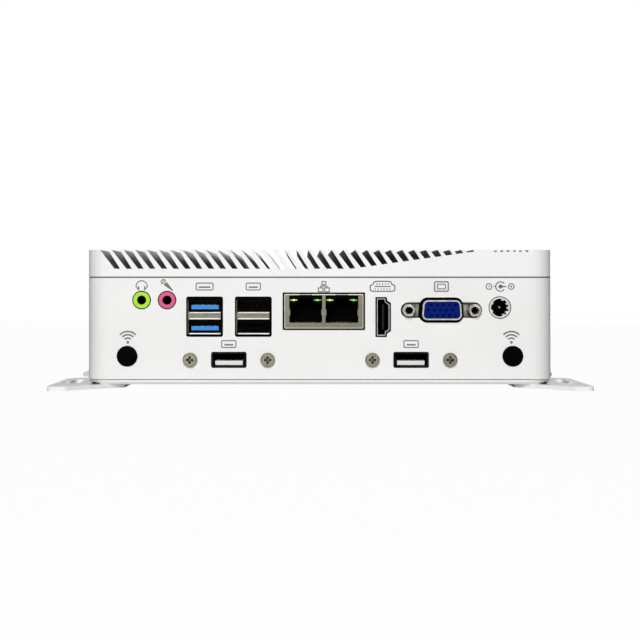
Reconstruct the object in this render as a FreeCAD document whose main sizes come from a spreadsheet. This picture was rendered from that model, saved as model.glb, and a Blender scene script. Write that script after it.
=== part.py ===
import FreeCAD, Part
import math
import os
import re
import Sketcher

# A fanless industrial PC: a rounded chassis frame closed by a finned extruded cover and a bottom
# cover, on two keyhole brackets. X runs across the port side, Y goes from the port side to the
# rear, Z points up, and the origin is under the middle of the whole part. All sizes are in mm.

SIZES = {
    # case
    "body_width": 177.5,
    "body_depth": 116.0,
    "corner_radius": 8.0,
    "wall": 2.0,
    "frame_height": 39.3,
    "floor_thickness": 1.65,
    "floor_corner": 11.0,
    "floor_chamfer": 0.9,
    "seam_depth": 1.0,
    "top_seam": 0.55,
    "bottom_seam": 0.3,
    "post_radius": 3.2,
    "post_inset_x": 2.2,
    "post_inset_y": 3.6,
    # finned cover
    "cover_height": 10.15,
    "fin_height": 7.2,
    "groove_pitch": 4.47,
    "groove_width": 2.13,
    "plain_band": 22.0,
    "first_groove": 10.75,
    "left_lean": 0.768,
    "right_lean": 0.64,
    "ramp_inset": 25.3,
    "ramp_slope": 0.14,
    "line_width": 1.1,
    "top_line_depth": 0.8,
    "top_line_inset": 22.15,
    "top_line_pitch": 2.38,
    "top_line_count": 6,
    "side_line_depth": 0.55,
    "side_line_first": 1.15,
    "side_line_pitch": 2.15,
    "side_line_count": 4,
    # brackets
    "bracket_thickness": 1.6,
    "bracket_inset": 13.95,
    "ear_reach": 12.95,
    "ear_front": 13.0,
    "ear_length": 49.5,
    "ear_tip": 7.0,
    "ear_root": 7.0,
    "bracket_waist": 4.25,
    "waist_half": 2.5,
    "bracket_round": 2.0,
    "keyhole_radius": 4.0,
    "keyhole_slot": 4.2,
    "keyhole_travel": 16.6,
    "keyhole_outset": 6.55,
    "keyhole_front": 12.0,
    "keyhole_rear": 89.5,
    "access_radius": 3.2,
    # screws
    "screw_radius": 1.5,
    "screw_fit": 0.05,
    "screw_clearance": 0.2,
    "case_head_radius": 2.9,
    "bracket_head_radius": 2.8,
    "case_screw_bite": 4.5,
    "bracket_screw_x": 9.25,
    "bracket_screw_y": 22.0,
    "bracket_screw_bite": 1.5,
    # main board
    "board_thickness": 1.6,
    "board_gap": 1.5,
    "post_gap": 1.0,
    "standoff_length": 4.95,
    "standoff_radius": 2.75,
    "standoff_inset_x": 8.55,
    "standoff_inset_y": 12.4,
    "board_screw_head": 2.75,
    "board_screw_head_height": 1.8,
    "board_screw_bite": 4.0,
    "processor_size": 25.0,
    "processor_height": 1.2,
    "processor_y": 5.0,
    "pad_size": 20.0,
    "pad_height": 0.5,
    "heat_block_size": 44.0,
    "memory_x": -20.0,
    "memory_inset": 20.0,
    "memory_width": 67.6,
    "memory_length": 30.0,
    "memory_thickness": 1.2,
    "memory_drop": 2.6,
    "memory_grip": 3.0,
    "memory_socket_width": 71.0,
    "memory_socket_depth": 6.0,
    "memory_socket_height": 5.2,
    "chip_width": 11.0,
    "chip_height": 1.0,
    "card_width": 22.0,
    "card_thickness": 0.8,
    "card_drop": 3.2,
    "card_socket_height": 4.2,
    "card_socket_depth": 7.0,
    "card_grip": 4.0,
    "storage_x": 36.0,
    "wireless_x": 64.0,
    "cards_inset": 28.0,
    "storage_length": 42.0,
    "wireless_length": 30.0,
    "card_post_radius": 2.2,
    "coin_radius": 10.0,
    "coin_thickness": 3.2,
    "coin_x": 0.0,
    "coin_y": -20.0,
    "holder_rim": 1.2,
    "holder_base": 1.0,
    # panel cut-outs
    "port_gap": 0.3,
    "wide_gap": 0.5,
    "window_round": 0.7,
    # audio jacks
    "audio_out_x": -67.7,
    "microphone_x": -58.05,
    "audio_drop": 2.4,
    "audio_hole_radius": 3.5,
    "audio_collar_radius": 3.15,
    "audio_bore_radius": 1.75,
    "audio_body_width": 6.6,
    "audio_body_height": 5.4,
    "audio_body_length": 12.0,
    # USB stacks
    "usb_three_x": -43.8,
    "usb_two_x": -25.3,
    "usb_width": 13.2,
    "usb_length": 17.5,
    "usb_lip": 0.5,
    "usb_wall": 0.35,
    "usb_port_height": 5.15,
    "usb_bar": 2.9,
    "usb_drop": 8.45,
    "usb_port_depth": 12.0,
    "usb_cut_height": 15.0,
    "usb_cut_drop": 8.75,
    "tongue_width": 10.4,
    "tongue_height": 1.6,
    "tongue_lift": 1.1,
    "tongue_recess": 3.0,
    # dual network socket
    "lan_x": 1.46,
    "lan_width": 30.3,
    "lan_height": 13.3,
    "lan_length": 21.0,
    "lan_plate": 0.4,
    "lan_port_pitch": 13.75,
    "lan_port_width": 12.5,
    "lan_port_height": 10.4,
    "lan_port_base": 2.3,
    "lan_tab_gap": 4.75,
    "lan_bump": 0.35,
    "lan_bump_height": 2.2,
    "lan_bump_base": 5.0,
    "plug_width": 11.8,
    "plug_height": 7.2,
    "plug_depth": 13.0,
    "latch_width": 6.2,
    "latch_height": 1.8,
    "lamp_width": 2.8,
    "lamp_height": 0.8,
    # digital video socket
    "digital_x": 24.0,
    "digital_drop": 8.85,
    "digital_width": 4.9,
    "digital_height": 14.2,
    "digital_step_x": 1.65,
    "digital_step_z": 2.2,
    "digital_notch_x": 1.4,
    "digital_notch_z": 1.35,
    "digital_wall": 0.35,
    "digital_length": 12.0,
    "digital_depth": 9.0,
    "digital_tongue_thickness": 0.8,
    "digital_tongue_height": 9.6,
    "digital_tongue_recess": 1.2,
    # analogue video socket
    "video_x": 46.1,
    "video_drop": 6.2,
    "video_wide": 15.3,
    "video_narrow": 14.1,
    "video_height": 7.5,
    "video_round": 2.0,
    "video_wall": 0.55,
    "video_length": 5.6,
    "video_insert_recess": 0.7,
    "video_cut_gap": 1.05,
    "video_flange_width": 31.0,
    "video_flange_height": 12.4,
    "video_flange": 0.8,
    "video_body_width": 18.0,
    "video_body_length": 9.0,
    "pin_radius": 0.52,
    "pin_pitch": 2.29,
    "pin_row_pitch": 2.0,
    "pin_depth": 3.0,
    "jackscrew_spacing": 24.99,
    "jackscrew_flats": 4.6,
    "jackscrew_length": 5.0,
    "jackscrew_bore": 1.42,
    "jackscrew_depth": 4.0,
    "lobe_radius": 2.96,
    # power inlet
    "power_x": 68.3,
    "power_drop": 5.25,
    "power_ring_radius": 3.95,
    "power_ring_wall": 0.55,
    "power_ring_length": 9.0,
    "power_pin_radius": 0.75,
    "power_pin_recess": 0.8,
    "power_body_width": 8.2,
    "power_body_length": 13.0,
    # lower USB sockets
    "lower_x": 34.6,
    "lower_z": 9.3,
    "lower_width": 12.8,
    "lower_height": 5.4,
    "lower_length": 14.0,
    "lower_screw_pitch": 29.5,
    "lower_screw_head": 2.75,
    "lower_screw_head_height": 1.5,
    "lower_plate_width": 36.4,
    "lower_plate_height": 9.4,
    "lower_plate": 1.5,
    "lower_board_width": 20.0,
    "lower_board_length": 18.0,
    "lower_board_thickness": 1.2,
    "lower_shelf": 1.0,
    # antenna hole plugs
    "plug_inset": 15.55,
    "plug_z": 10.7,
    "plug_head_radius": 3.95,
    "plug_head_height": 0.9,
    "plug_barrel_radius": 3.1,
    "plug_barrel_length": 4.5,
    "plug_fit": 0.1,
    # power button and lamps on the rear wall
    "button_x": -60.0,
    "button_z": 20.0,
    "button_radius": 4.2,
    "button_gap": 0.3,
    "button_travel": 1.0,
    "button_length": 6.0,
    "button_proud": 1.0,
    "barrel_radius": 5.5,
    "bezel_radius": 6.6,
    "bezel_height": 1.0,
    "barrel_floor": 1.5,
    "nut_radius": 8.0,
    "nut_height": 2.0,
    "lamp_x": -44.0,
    "lamp_pitch": 6.0,
    "lamp_radius": 1.5,
    "lamp_collar": 2.2,
    "lamp_collar_height": 1.0,
    "lamp_proud": 0.3,
}

# Places that several pieces share, as formulas of the sizes.
FACE = "(-body_depth / 2)"
INNER = "(wall - body_depth / 2)"
REAR = "(body_depth / 2)"
FLOOR_Z = "bracket_thickness"
FRAME_Z = "(bracket_thickness + floor_thickness)"
COVER_Z = "(bracket_thickness + floor_thickness + frame_height)"
BOARD_TOP = "(bracket_thickness + floor_thickness + frame_height - standoff_length)"
BOARD_Z = "(bracket_thickness + floor_thickness + frame_height - standoff_length - board_thickness)"
POST_X = "(body_width / 2 - wall - post_inset_x)"
POST_Y = "(body_depth / 2 - wall - post_inset_y)"
COVER_FLOOR = "(cover_height - fin_height)"
LOWER_Z = "(bracket_thickness + lower_z)"
STANDOFF_X = "(body_width / 2 - wall - post_inset_x - standoff_inset_x)"
STANDOFF_Y = "(body_depth / 2 - wall - post_inset_y - standoff_inset_y)"
PLUG_X = "(body_width / 2 - plug_inset)"
CARDS_Y = "(body_depth / 2 - cards_inset)"
MEMORY_Y = "(body_depth / 2 - memory_inset)"
GROOVES = "floor((body_width - first_groove - plain_band) / groove_pitch)"

doc = FreeCAD.newDocument("fanless_industrial_pc")
sheet = doc.addObject("Spreadsheet::Sheet", "sizes")
for row, (alias, size) in enumerate(SIZES.items(), 1):
    sheet.set("A%d" % row, alias)
    sheet.set("B%d" % row, str(size))
    sheet.setAlias("B%d" % row, alias)
doc.recompute()

NODES = []


def formula(text):
    """The text with each size's name written as the sheet's cell."""
    return re.sub(r"[a-z]\w*\b(?!\()", lambda word: "sizes." + word.group(0), str(text))


def bind(thing, **properties):
    for name, text in properties.items():
        thing.setExpression(name, formula(text))


def place(thing, x, y, z):
    for axis, text in (("x", x), ("y", y), ("z", z)):
        thing.setExpression("Placement.Base." + axis, formula(text))
    return thing


def node(name, thing):
    thing.Label = name
    NODES.append(thing)
    return thing


def box(x, y, z, wide, deep, high):
    """A block centred on x, with its front at y and its underside at z."""
    block = doc.addObject("Part::Box", "Block")
    bind(block, Length=wide, Width=deep, Height=high)
    return place(block, "%s - (%s) / 2" % (x, wide), y, z)


def rod(x, y, z, radius, length, turn=None):
    """A round rod from (x, y, z) up Z, or along +Y with turn ALONG_Y."""
    pin = doc.addObject("Part::Cylinder", "Rod")
    bind(pin, Radius=radius, Height=length)
    if turn:
        pin.Placement.Rotation = turn
    return place(pin, x, y, z)


def facet_rod(x, y, z, radius, length, turn=None, sides=12):
    """A many-sided rod for hidden fasteners, their holes and other small hidden round forms."""
    pin = doc.addObject("Part::Prism", "FacetRod")
    pin.Polygon = sides
    bind(pin, Circumradius=radius, Height=length)
    if turn:
        pin.Placement.Rotation = turn
    return place(pin, x, y, z)


def cone(x, y, z, low_radius, high_radius, length):
    shape = doc.addObject("Part::Cone", "Cone")
    bind(shape, Radius1=low_radius, Radius2=high_radius, Height=length)
    return place(shape, x, y, z)


def fuse(*things):
    joined = doc.addObject("Part::MultiFuse", "Joined")
    joined.Shapes = list(things)
    return joined


def cut(base, *tools):
    result = doc.addObject("Part::Cut", "Cut")
    result.Base = base
    result.Tool = tools[0] if len(tools) == 1 else fuse(*tools)
    return result


ALONG_Y = FreeCAD.Rotation(FreeCAD.Vector(1, 0, 0), -90)
CORNERS = [(-1, -1), (1, -1), (1, 1), (-1, 1)]


def origin_feature(body, role):
    return [f for f in body.Origin.OriginFeatures if f.Role == role][0]


def outline(body, role, corners):
    """A closed sketch whose corners are dimensioned from the origin by the given formulas."""
    sketch = body.newObject("Sketcher::SketchObject", "Outline")
    sketch.AttachmentSupport = [(origin_feature(body, role), "")]
    sketch.MapMode = "FlatFace"
    count = len(corners)
    turns = [2 * math.pi * i / count for i in range(count)]
    rough = [FreeCAD.Vector(10 * math.cos(a), 10 * math.sin(a), 0) for a in turns]
    for i in range(count):
        sketch.addGeometry(Part.LineSegment(rough[i], rough[(i + 1) % count]), False)
    for i in range(count):
        sketch.addConstraint(Sketcher.Constraint("Coincident", i, 2, (i + 1) % count, 1))
    for i, (across, up) in enumerate(corners):
        for kind, text in (("DistanceX", across), ("DistanceY", up)):
            index = sketch.addConstraint(Sketcher.Constraint(kind, -1, 1, i, 1, 1.0))
            sketch.renameConstraint(index, "%s%d" % (kind, i))
            sketch.setExpression(".Constraints.%s%d" % (kind, i), formula(text))
    return sketch


def extrude(body, kind, sketch, length, side="One side", back=False):
    feature = body.newObject("PartDesign::" + kind, kind)
    feature.Profile = sketch
    feature.SideType = side
    feature.Reversed = back
    bind(feature, Length=length)
    return feature


def repeat(body, feature, role, spacing, count, back=False):
    pattern = body.newObject("PartDesign::LinearPattern", "Pattern")
    pattern.Originals = [feature]
    pattern.Direction = (origin_feature(body, role), [""])
    pattern.Mode = "Spacing"
    pattern.Reversed = back
    bind(pattern, Offset=spacing, Occurrences=count)
    body.Tip = pattern
    return pattern


def round_edges(body, feature, direction, radius):
    """Rounds the straight edges of a feature that run along a direction."""
    doc.recompute()
    names = []
    for index, edge in enumerate(feature.Shape.Edges, 1):
        if len(edge.Vertexes) == 2:
            run = (edge.Vertexes[1].Point - edge.Vertexes[0].Point).normalize()
            if abs(run.dot(direction)) > 0.9999:
                names.append("Edge%d" % index)
    rounding = body.newObject("PartDesign::Fillet", "Rounding")
    rounding.Base = (feature, names)
    bind(rounding, Radius=radius)
    body.Tip = rounding
    return rounding


def prism(corners, length, x, y, z, radius=None, along="Y"):
    """A body extruded from an outline, along +Y from the XZ plane or up Z from the XY plane."""
    body = doc.addObject("PartDesign::Body", "Prism")
    if along == "Y":
        sketch = outline(body, "XZ_Plane", corners)
        feature = extrude(body, "Pad", sketch, length, back=True)
        direction = FreeCAD.Vector(0, 1, 0)
    else:
        sketch = outline(body, "XY_Plane", corners)
        feature = extrude(body, "Pad", sketch, length)
        direction = FreeCAD.Vector(0, 0, 1)
    if radius:
        round_edges(body, feature, direction, radius)
    return place(body, x, y, z)


def rounded_block(inset, radius, z, height):
    """A block with the case's outline, drawn in by an inset, with its upright edges rounded."""
    half_x = "(body_width / 2 - %s)" % inset
    half_y = "(body_depth / 2 - %s)" % inset
    corners = [("%d * %s" % (a, half_x), "%d * %s" % (b, half_y)) for a, b in CORNERS]
    return prism(corners, height, "0", "0", z, radius, along="Z")


def at_corners(x, y, make):
    """The four copies of a piece at the corners (+-x, +-y)."""
    return [make("%d * %s" % (a, x), "%d * %s" % (b, y)) for a, b in CORNERS]


# ---- Finned cover: an extruded profile with leaning fins over a floor that ramps up to the right
def finned_cover():
    body = doc.addObject("PartDesign::Body", "Extrusion")
    half = "body_width / 2"
    mid = "(cover_height - fin_height) / 2"
    left = "(first_groove - body_width / 2)"
    right = "(first_groove - body_width / 2 + groove_width + groove_pitch * (%s - 1))" % GROOVES
    ramp_end = "(body_width / 2 - ramp_inset)"
    next_left = "(first_groove - body_width / 2 + groove_pitch)"
    fin_left = "(first_groove - body_width / 2 + groove_width)"
    across = "left_lean * fin_height"
    back = "right_lean * fin_height"
    slab = [
        ("-" + half, "0"),
        (half, "0"),
        (half, "cover_height"),
        (ramp_end, "cover_height"),
        (ramp_end + " - fin_height / ramp_slope", COVER_FLOOR),
        ("-" + half, COVER_FLOOR),
    ]
    left_block = [
        ("-" + half, mid),
        (left, mid),
        (left, COVER_FLOOR),
        ("%s - %s" % (left, across), "cover_height"),
        ("-" + half, "cover_height"),
    ]
    fin = [
        (fin_left, mid),
        (next_left, mid),
        (next_left, COVER_FLOOR),
        ("%s - %s" % (next_left, across), "cover_height"),
        ("%s - %s" % (fin_left, back), "cover_height"),
        (fin_left, COVER_FLOOR),
    ]
    right_block = [
        (right, mid),
        (half, mid),
        (half, "cover_height"),
        ("%s - %s" % (right, back), "cover_height"),
        (right, COVER_FLOOR),
    ]
    for corners in (slab, left_block, right_block):
        extrude(body, "Pad", outline(body, "XZ_Plane", corners), "body_depth", "Symmetric")
    one_fin = extrude(body, "Pad", outline(body, "XZ_Plane", fin), "body_depth", "Symmetric")
    repeat(body, one_fin, "X_Axis", "groove_pitch", GROOVES + " - 1")
    top_line = [
        ("body_width / 2 - top_line_inset + %d * line_width / 2" % side, height)
        for side, height in (
            (-1, "cover_height - top_line_depth"),
            (1, "cover_height - top_line_depth"),
            (1, "cover_height + 1"),
            (-1, "cover_height + 1"),
        )
    ]
    line = extrude(body, "Pocket", outline(body, "XZ_Plane", top_line), "2 * body_depth", "Symmetric")
    repeat(body, line, "X_Axis", "top_line_pitch", "top_line_count")
    side_line = [
        (reach, "side_line_first + %d * line_width / 2" % side)
        for reach, side in (
            (half + " - side_line_depth", -1),
            (half + " + 1", -1),
            (half + " + 1", 1),
            (half + " - side_line_depth", 1),
        )
    ]
    line = extrude(body, "Pocket", outline(body, "XZ_Plane", side_line), "2 * body_depth", "Symmetric")
    repeat(body, line, "Z_Axis", "side_line_pitch", "side_line_count")
    place(body, "0", "0", COVER_Z)
    shape = doc.addObject("Part::Common", "Cover")
    shape.Base = body
    shape.Tool = rounded_block("0", "corner_radius", COVER_Z, "cover_height")
    depth = "case_screw_bite + 0.5"
    bores = at_corners(
        POST_X, POST_Y, lambda x, y: facet_rod(x, y, COVER_Z, "screw_radius + screw_fit", depth)
    )
    node("heatsink_cover", cut(shape, *bores))


# ---- Chassis frame: a rounded ring with screw posts in its corners and the ports' cut-outs
def window(x, z, wide, high):
    """A rectangular cut through the port wall, centred on (x, z)."""
    return box(x, FACE + " - 1", "%s - (%s) / 2" % (z, high), wide, "wall + 2", high)


def soft_window(x, z, wide, high):
    """A rectangular cut through the port wall with rounded corners, centred on (x, z)."""
    corners = [("%d * (%s) / 2" % (a, wide), "%d * (%s) / 2" % (b, high)) for a, b in CORNERS]
    return prism(corners, "wall + 2", x, FACE + " - 1", z, "window_round")


def round_window(x, z, radius, y=FACE):
    return rod(x, y + " - 2 * wall", z, radius, "4 * wall", ALONG_Y)


def hidden_window(x, z, radius, y=FACE):
    return facet_rod(x, y + " - 2 * wall", z, radius, "4 * wall", ALONG_Y, 24)


def digital_outline(gap):
    """The upright socket's outline, with its two stepped corners on the right, grown by a gap."""
    half_x = "(digital_width / 2 + %s)" % gap
    half_z = "(digital_height / 2 + %s)" % gap
    return [
        ("-" + half_x, "-" + half_z),
        (half_x + " - digital_step_x", "-" + half_z),
        (half_x + " - digital_notch_x", "digital_notch_z - " + half_z),
        (half_x, "digital_step_z - " + half_z),
        (half_x, half_z + " - digital_step_z"),
        (half_x + " - digital_notch_x", half_z + " - digital_notch_z"),
        (half_x + " - digital_step_x", half_z),
        ("-" + half_x, half_z),
    ]


def video_outline(gap):
    """The analogue socket's tapered outline, wide side down, grown by a gap."""
    wide = "(video_wide / 2 + %s)" % gap
    narrow = "(video_narrow / 2 + %s)" % gap
    half = "(video_height / 2 + %s)" % gap
    return [("-" + wide, "-" + half), (wide, "-" + half), (narrow, half), ("-" + narrow, half)]


def port_cuts():
    audio_z = BOARD_Z + " - audio_drop"
    usb_z = BOARD_Z + " - usb_cut_drop"
    lan_z = BOARD_Z + " - lan_height / 2"
    video_z = BOARD_Z + " - video_drop"
    cuts = [
        round_window("audio_out_x", audio_z, "audio_hole_radius"),
        round_window("microphone_x", audio_z, "audio_hole_radius"),
        round_window("power_x", BOARD_Z + " - power_drop", "power_ring_radius + port_gap"),
        window("lan_x", lan_z, "lan_width + 2 * wide_gap", "lan_height + 2 * wide_gap"),
    ]
    for x in ("usb_three_x", "usb_two_x"):
        cuts.append(soft_window(x, usb_z, "usb_width + 2 * port_gap", "usb_cut_height"))
    front = FACE + " - 1"
    digital_z = BOARD_Z + " - digital_drop"
    cuts.append(prism(digital_outline("wide_gap"), "wall + 2", "digital_x", front, digital_z))
    shell = video_outline("video_cut_gap")
    cuts.append(prism(shell, "wall + 2", "video_x", front, video_z, "video_round + video_cut_gap"))
    cuts.append(window("video_x", video_z, "jackscrew_spacing", "2 * lobe_radius"))
    for side in (-1, 1):
        lobe = "video_x + %d * jackscrew_spacing / 2" % side
        cuts.append(round_window(lobe, video_z, "lobe_radius"))
        x = "%d * lower_x" % side
        cuts.append(soft_window(x, LOWER_Z, "lower_width + 2 * port_gap", "lower_height + 2 * port_gap"))
        for end in (-1, 1):
            bolt = "%s + %d * lower_screw_pitch / 2" % (x, end)
            cuts.append(hidden_window(bolt, LOWER_Z, "screw_radius + screw_clearance"))
        plug_z = "bracket_thickness + plug_z"
        cuts.append(hidden_window("%d * %s" % (side, PLUG_X), plug_z, "plug_barrel_radius + plug_fit"))
    button_z = "bracket_thickness + button_z"
    cuts.append(hidden_window("button_x", button_z, "barrel_radius + plug_fit", REAR))
    for step in (0, 1):
        lamp = "lamp_x + %d * lamp_pitch" % step
        cuts.append(hidden_window(lamp, button_z, "lamp_radius + screw_fit", REAR))
    return cuts


def chassis_frame():
    middle_z = FRAME_Z + " + bottom_seam"
    middle = rounded_block("0", "corner_radius", middle_z, "frame_height - top_seam - bottom_seam")
    lips = rounded_block("seam_depth", "corner_radius - seam_depth", FRAME_Z, "frame_height")
    inside = rounded_block("wall", "corner_radius - wall", FRAME_Z + " - 1", "frame_height + 2")
    ring = cut(fuse(middle, lips), inside)
    posts = at_corners(POST_X, POST_Y, lambda x, y: facet_rod(x, y, FRAME_Z, "post_radius", "frame_height"))
    bore = "screw_radius + screw_clearance"
    bores = at_corners(
        POST_X, POST_Y, lambda x, y: facet_rod(x, y, FRAME_Z + " - 1", bore, "frame_height + 2")
    )
    node("chassis_frame", cut(fuse(ring, *posts), *bores, *port_cuts()))


# ---- Bottom cover: a plate with bevelled lower edges, countersinks and tapped holes
def bottom_cover():
    half_x, half_y = "body_width / 2", "body_depth / 2"
    corners = [("%d * %s" % (a, half_x), "%d * %s" % (b, half_y)) for a, b in CORNERS]
    body = doc.addObject("PartDesign::Body", "Plate")
    plate = extrude(body, "Pad", outline(body, "XY_Plane", corners), "floor_thickness")
    upright = round_edges(body, plate, FreeCAD.Vector(0, 0, 1), "floor_corner")
    doc.recompute()
    low = [
        "Edge%d" % i for i, edge in enumerate(upright.Shape.Edges, 1) if edge.BoundBox.ZMax < 0.001
    ]
    bevel = body.newObject("PartDesign::Chamfer", "LowerEdge")
    bevel.Base = (upright, low)
    bind(bevel, Size="floor_chamfer")
    body.Tip = bevel
    place(body, "0", "0", FLOOR_Z)
    heads = at_corners(POST_X, POST_Y, lambda x, y: countersink(x, y, "case_head_radius", "floor_thickness"))
    taps = at_corners(
        "(body_width / 2 - bracket_screw_x)",
        "bracket_screw_y",
        lambda x, y: facet_rod(x, y, FLOOR_Z + " - 1", "screw_radius + screw_fit", "floor_thickness + 2"),
    )
    node("bottom_cover", cut(body, *heads, *taps))


def countersink(x, y, head, thickness):
    """A countersunk hole through the bottom cover, wider than the screw by the fit."""
    seat = cone(x, y, FLOOR_Z, head + " + screw_fit", "screw_radius + screw_fit", head + " - screw_radius")
    through = facet_rod(x, y, FLOOR_Z + " - 1", "screw_radius + screw_fit", thickness + " + 2")
    return fuse(seat, through)


def sunk_screw(x, y, z, head, length):
    """A flat-head screw from its face at z up to its end."""
    head_end = cone(x, y, z, head, "screw_radius", head + " - screw_radius")
    return fuse(head_end, facet_rod(x, y, z, "screw_radius", length))


# ---- Mounting bracket: a plate with two ears that lean out, each with a keyhole along Y
def mounting_brackets():
    body = doc.addObject("PartDesign::Body", "EarPlate")
    inner = "(body_width / 2 - bracket_inset)"
    outer = "(body_width / 2 + ear_reach)"
    front = "(body_depth / 2 + ear_front)"
    back = "(body_depth / 2 + ear_front - ear_length)"
    waist = "(body_width / 2 - bracket_waist)"
    root = "(body_depth / 2 - ear_root)"
    ear = [
        (inner, root),
        (outer + " - ear_tip", front),
        (outer, front),
        (outer, back),
        (waist, "waist_half"),
    ]
    corners = [(x, "-" + y) for x, y in ear] + [(x, y) for x, y in reversed(ear)]
    plate = extrude(body, "Pad", outline(body, "XY_Plane", corners), "bracket_thickness")
    round_edges(body, plate, FreeCAD.Vector(0, 0, 1), "bracket_round")
    cuts = []
    for start in ("keyhole_front", "keyhole_rear"):
        x = "(body_width / 2 + keyhole_outset)"
        y = "(%s - body_depth / 2)" % start
        tall = "bracket_thickness + 2"
        cuts.append(rod(x, y, "-1", "keyhole_radius", tall))
        cuts.append(box(x, y, "-1", "keyhole_slot", "keyhole_travel", tall))
        cuts.append(rod(x, y + " + keyhole_travel", "-1", "keyhole_slot / 2", tall))
    for side in (-1, 1):
        cuts.append(rod(POST_X, "%d * %s" % (side, POST_Y), "-1", "access_radius", "bracket_thickness + 2"))
        x, y = "body_width / 2 - bracket_screw_x", "%d * bracket_screw_y" % side
        head = "bracket_head_radius"
        narrow = "screw_radius + screw_fit"
        cuts.append(cone(x, y, "0", head + " + screw_fit", narrow, head + " - screw_radius"))
        cuts.append(facet_rod(x, y, "-1", narrow, "bracket_thickness + 2"))
    right = node("mount_bracket_right", cut(body, *cuts))
    left = doc.addObject("Part::Mirroring", "Mirrored")
    left.Source = right
    left.Normal = FreeCAD.Vector(1, 0, 0)
    node("mount_bracket_left", left)


def case_fasteners():
    length = "floor_thickness + frame_height + case_screw_bite"
    screws = at_corners(POST_X, POST_Y, lambda x, y: sunk_screw(x, y, FLOOR_Z, "case_head_radius", length))
    node("case_screws", fuse(*screws))
    length = "bracket_thickness + floor_thickness + bracket_screw_bite"
    screws = at_corners(
        "(body_width / 2 - bracket_screw_x)",
        "bracket_screw_y",
        lambda x, y: sunk_screw(x, y, "0", "bracket_head_radius", length),
    )
    node("bracket_screws", fuse(*screws))


# ---- Main board, hung under the finned cover, with what it carries
def main_board():
    wide = "body_width - 2 * wall - 2 * board_gap"
    deep = "body_depth - 2 * wall - 2 * board_gap"
    plate = box("0", INNER + " + board_gap", BOARD_Z, wide, deep, "board_thickness")
    radius = "post_radius + post_gap"
    through = "board_thickness + 2"
    holes = at_corners(
        STANDOFF_X,
        STANDOFF_Y,
        lambda x, y: facet_rod(x, y, BOARD_Z + " - 1", "screw_radius + screw_clearance", through),
    )
    notch = "(2 * post_radius + 2 * post_gap)"
    notches = at_corners(
        POST_X,
        POST_Y,
        lambda x, y: box(x, "%s - %s / 2" % (y, notch), BOARD_Z + " - 1", notch, notch, through),
    )
    rims = at_corners(
        "(body_width / 2 - wall)",
        "(body_depth / 2 - wall)",
        lambda x, y: box(x, "%s - %s / 2" % (y, notch), BOARD_Z + " - 1", notch, notch, through),
    )
    node("main_board", cut(plate, *notches, *rims, *holes))
    posts = at_corners(
        STANDOFF_X,
        STANDOFF_Y,
        lambda x, y: facet_rod(x, y, BOARD_TOP, "standoff_radius", "standoff_length", sides=6),
    )
    tapped_length = "board_screw_bite + 1.2"
    tapped = at_corners(
        STANDOFF_X,
        STANDOFF_Y,
        lambda x, y: facet_rod(x, y, BOARD_TOP + " - 1", "screw_radius + screw_fit", tapped_length),
    )
    node("board_standoffs", cut(fuse(*posts), *tapped))
    head_z = BOARD_Z + " - board_screw_head_height"
    length = "board_screw_head_height + board_thickness + board_screw_bite"
    screws = at_corners(
        STANDOFF_X,
        STANDOFF_Y,
        lambda x, y: fuse(
            facet_rod(x, y, head_z, "board_screw_head", "board_screw_head_height"),
            facet_rod(x, y, head_z, "screw_radius", length),
        ),
    )
    node("board_screws", fuse(*screws))


def square_block(size, y, z, height):
    return box("0", "%s - %s / 2" % (y, size), z, size, size, height)


def processor_stack():
    pad_z = BOARD_TOP + " + processor_height"
    block_z = pad_z + " + pad_height"
    node("processor_package", square_block("processor_size", "processor_y", BOARD_TOP, "processor_height"))
    node("thermal_pad", square_block("pad_size", "processor_y", pad_z, "pad_height"))
    height = "standoff_length - processor_height - pad_height"
    node("heat_block", square_block("heat_block_size", "processor_y", block_z, height))


def board_cards():
    """The memory module, the storage card and the wireless card, each gripped by its socket."""
    socket_z = BOARD_Z + " - memory_socket_height"
    module_z = BOARD_Z + " - memory_drop - memory_thickness / 2"
    module_y = MEMORY_Y + " + memory_grip - memory_length"
    module = box("memory_x", module_y, module_z, "memory_width", "memory_length", "memory_thickness")
    chips = [
        box(
            "memory_x + %g * chip_width" % step,
            MEMORY_Y + " - 0.6 * memory_length",
            module_z + " - chip_height",
            "0.8 * chip_width",
            "chip_width",
            "chip_height",
        )
        for step in (-2.25, -0.75, 0.75, 2.25)
    ]
    node("memory_module", fuse(module, *chips))
    wide = "memory_width + 2 * screw_fit"
    thick = "memory_thickness + 2 * screw_fit"
    slot = box("memory_x", MEMORY_Y + " - 1", module_z + " - screw_fit", wide, "memory_grip + 1", thick)
    socket = box(
        "memory_x", MEMORY_Y, socket_z, "memory_socket_width", "memory_socket_depth", "memory_socket_height"
    )
    node("memory_socket", cut(socket, slot))
    sockets, posts = [], []
    card_z = BOARD_Z + " - card_drop"
    for name, x, length in (
        ("storage_card", "storage_x", "storage_length"),
        ("wireless_card", "wireless_x", "wireless_length"),
    ):
        y = CARDS_Y + " + card_grip - " + length
        card = box(x, y, card_z, "card_width", length, "card_thickness")
        chip_length = "0.4 * " + length
        chip = box(x, y + " + 6", card_z + " - chip_height", "0.6 * card_width", chip_length, "chip_height")
        node(name, fuse(card, chip))
        tall = "card_socket_height"
        block = box(x, CARDS_Y, BOARD_Z + " - " + tall, "card_width", "card_socket_depth", tall)
        thick = "card_thickness + 2 * screw_fit"
        slit = box(x, CARDS_Y + " - 1", card_z + " - screw_fit", "card_width + 2", "card_grip + 1", thick)
        sockets.append(cut(block, slit))
        post_z = card_z + " + card_thickness"
        gap = "card_drop - card_thickness"
        posts.append(facet_rod(x, y + " + card_post_radius", post_z, "card_post_radius", gap, sides=6))
    node("card_sockets", fuse(*sockets))
    node("card_posts", fuse(*posts))


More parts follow.
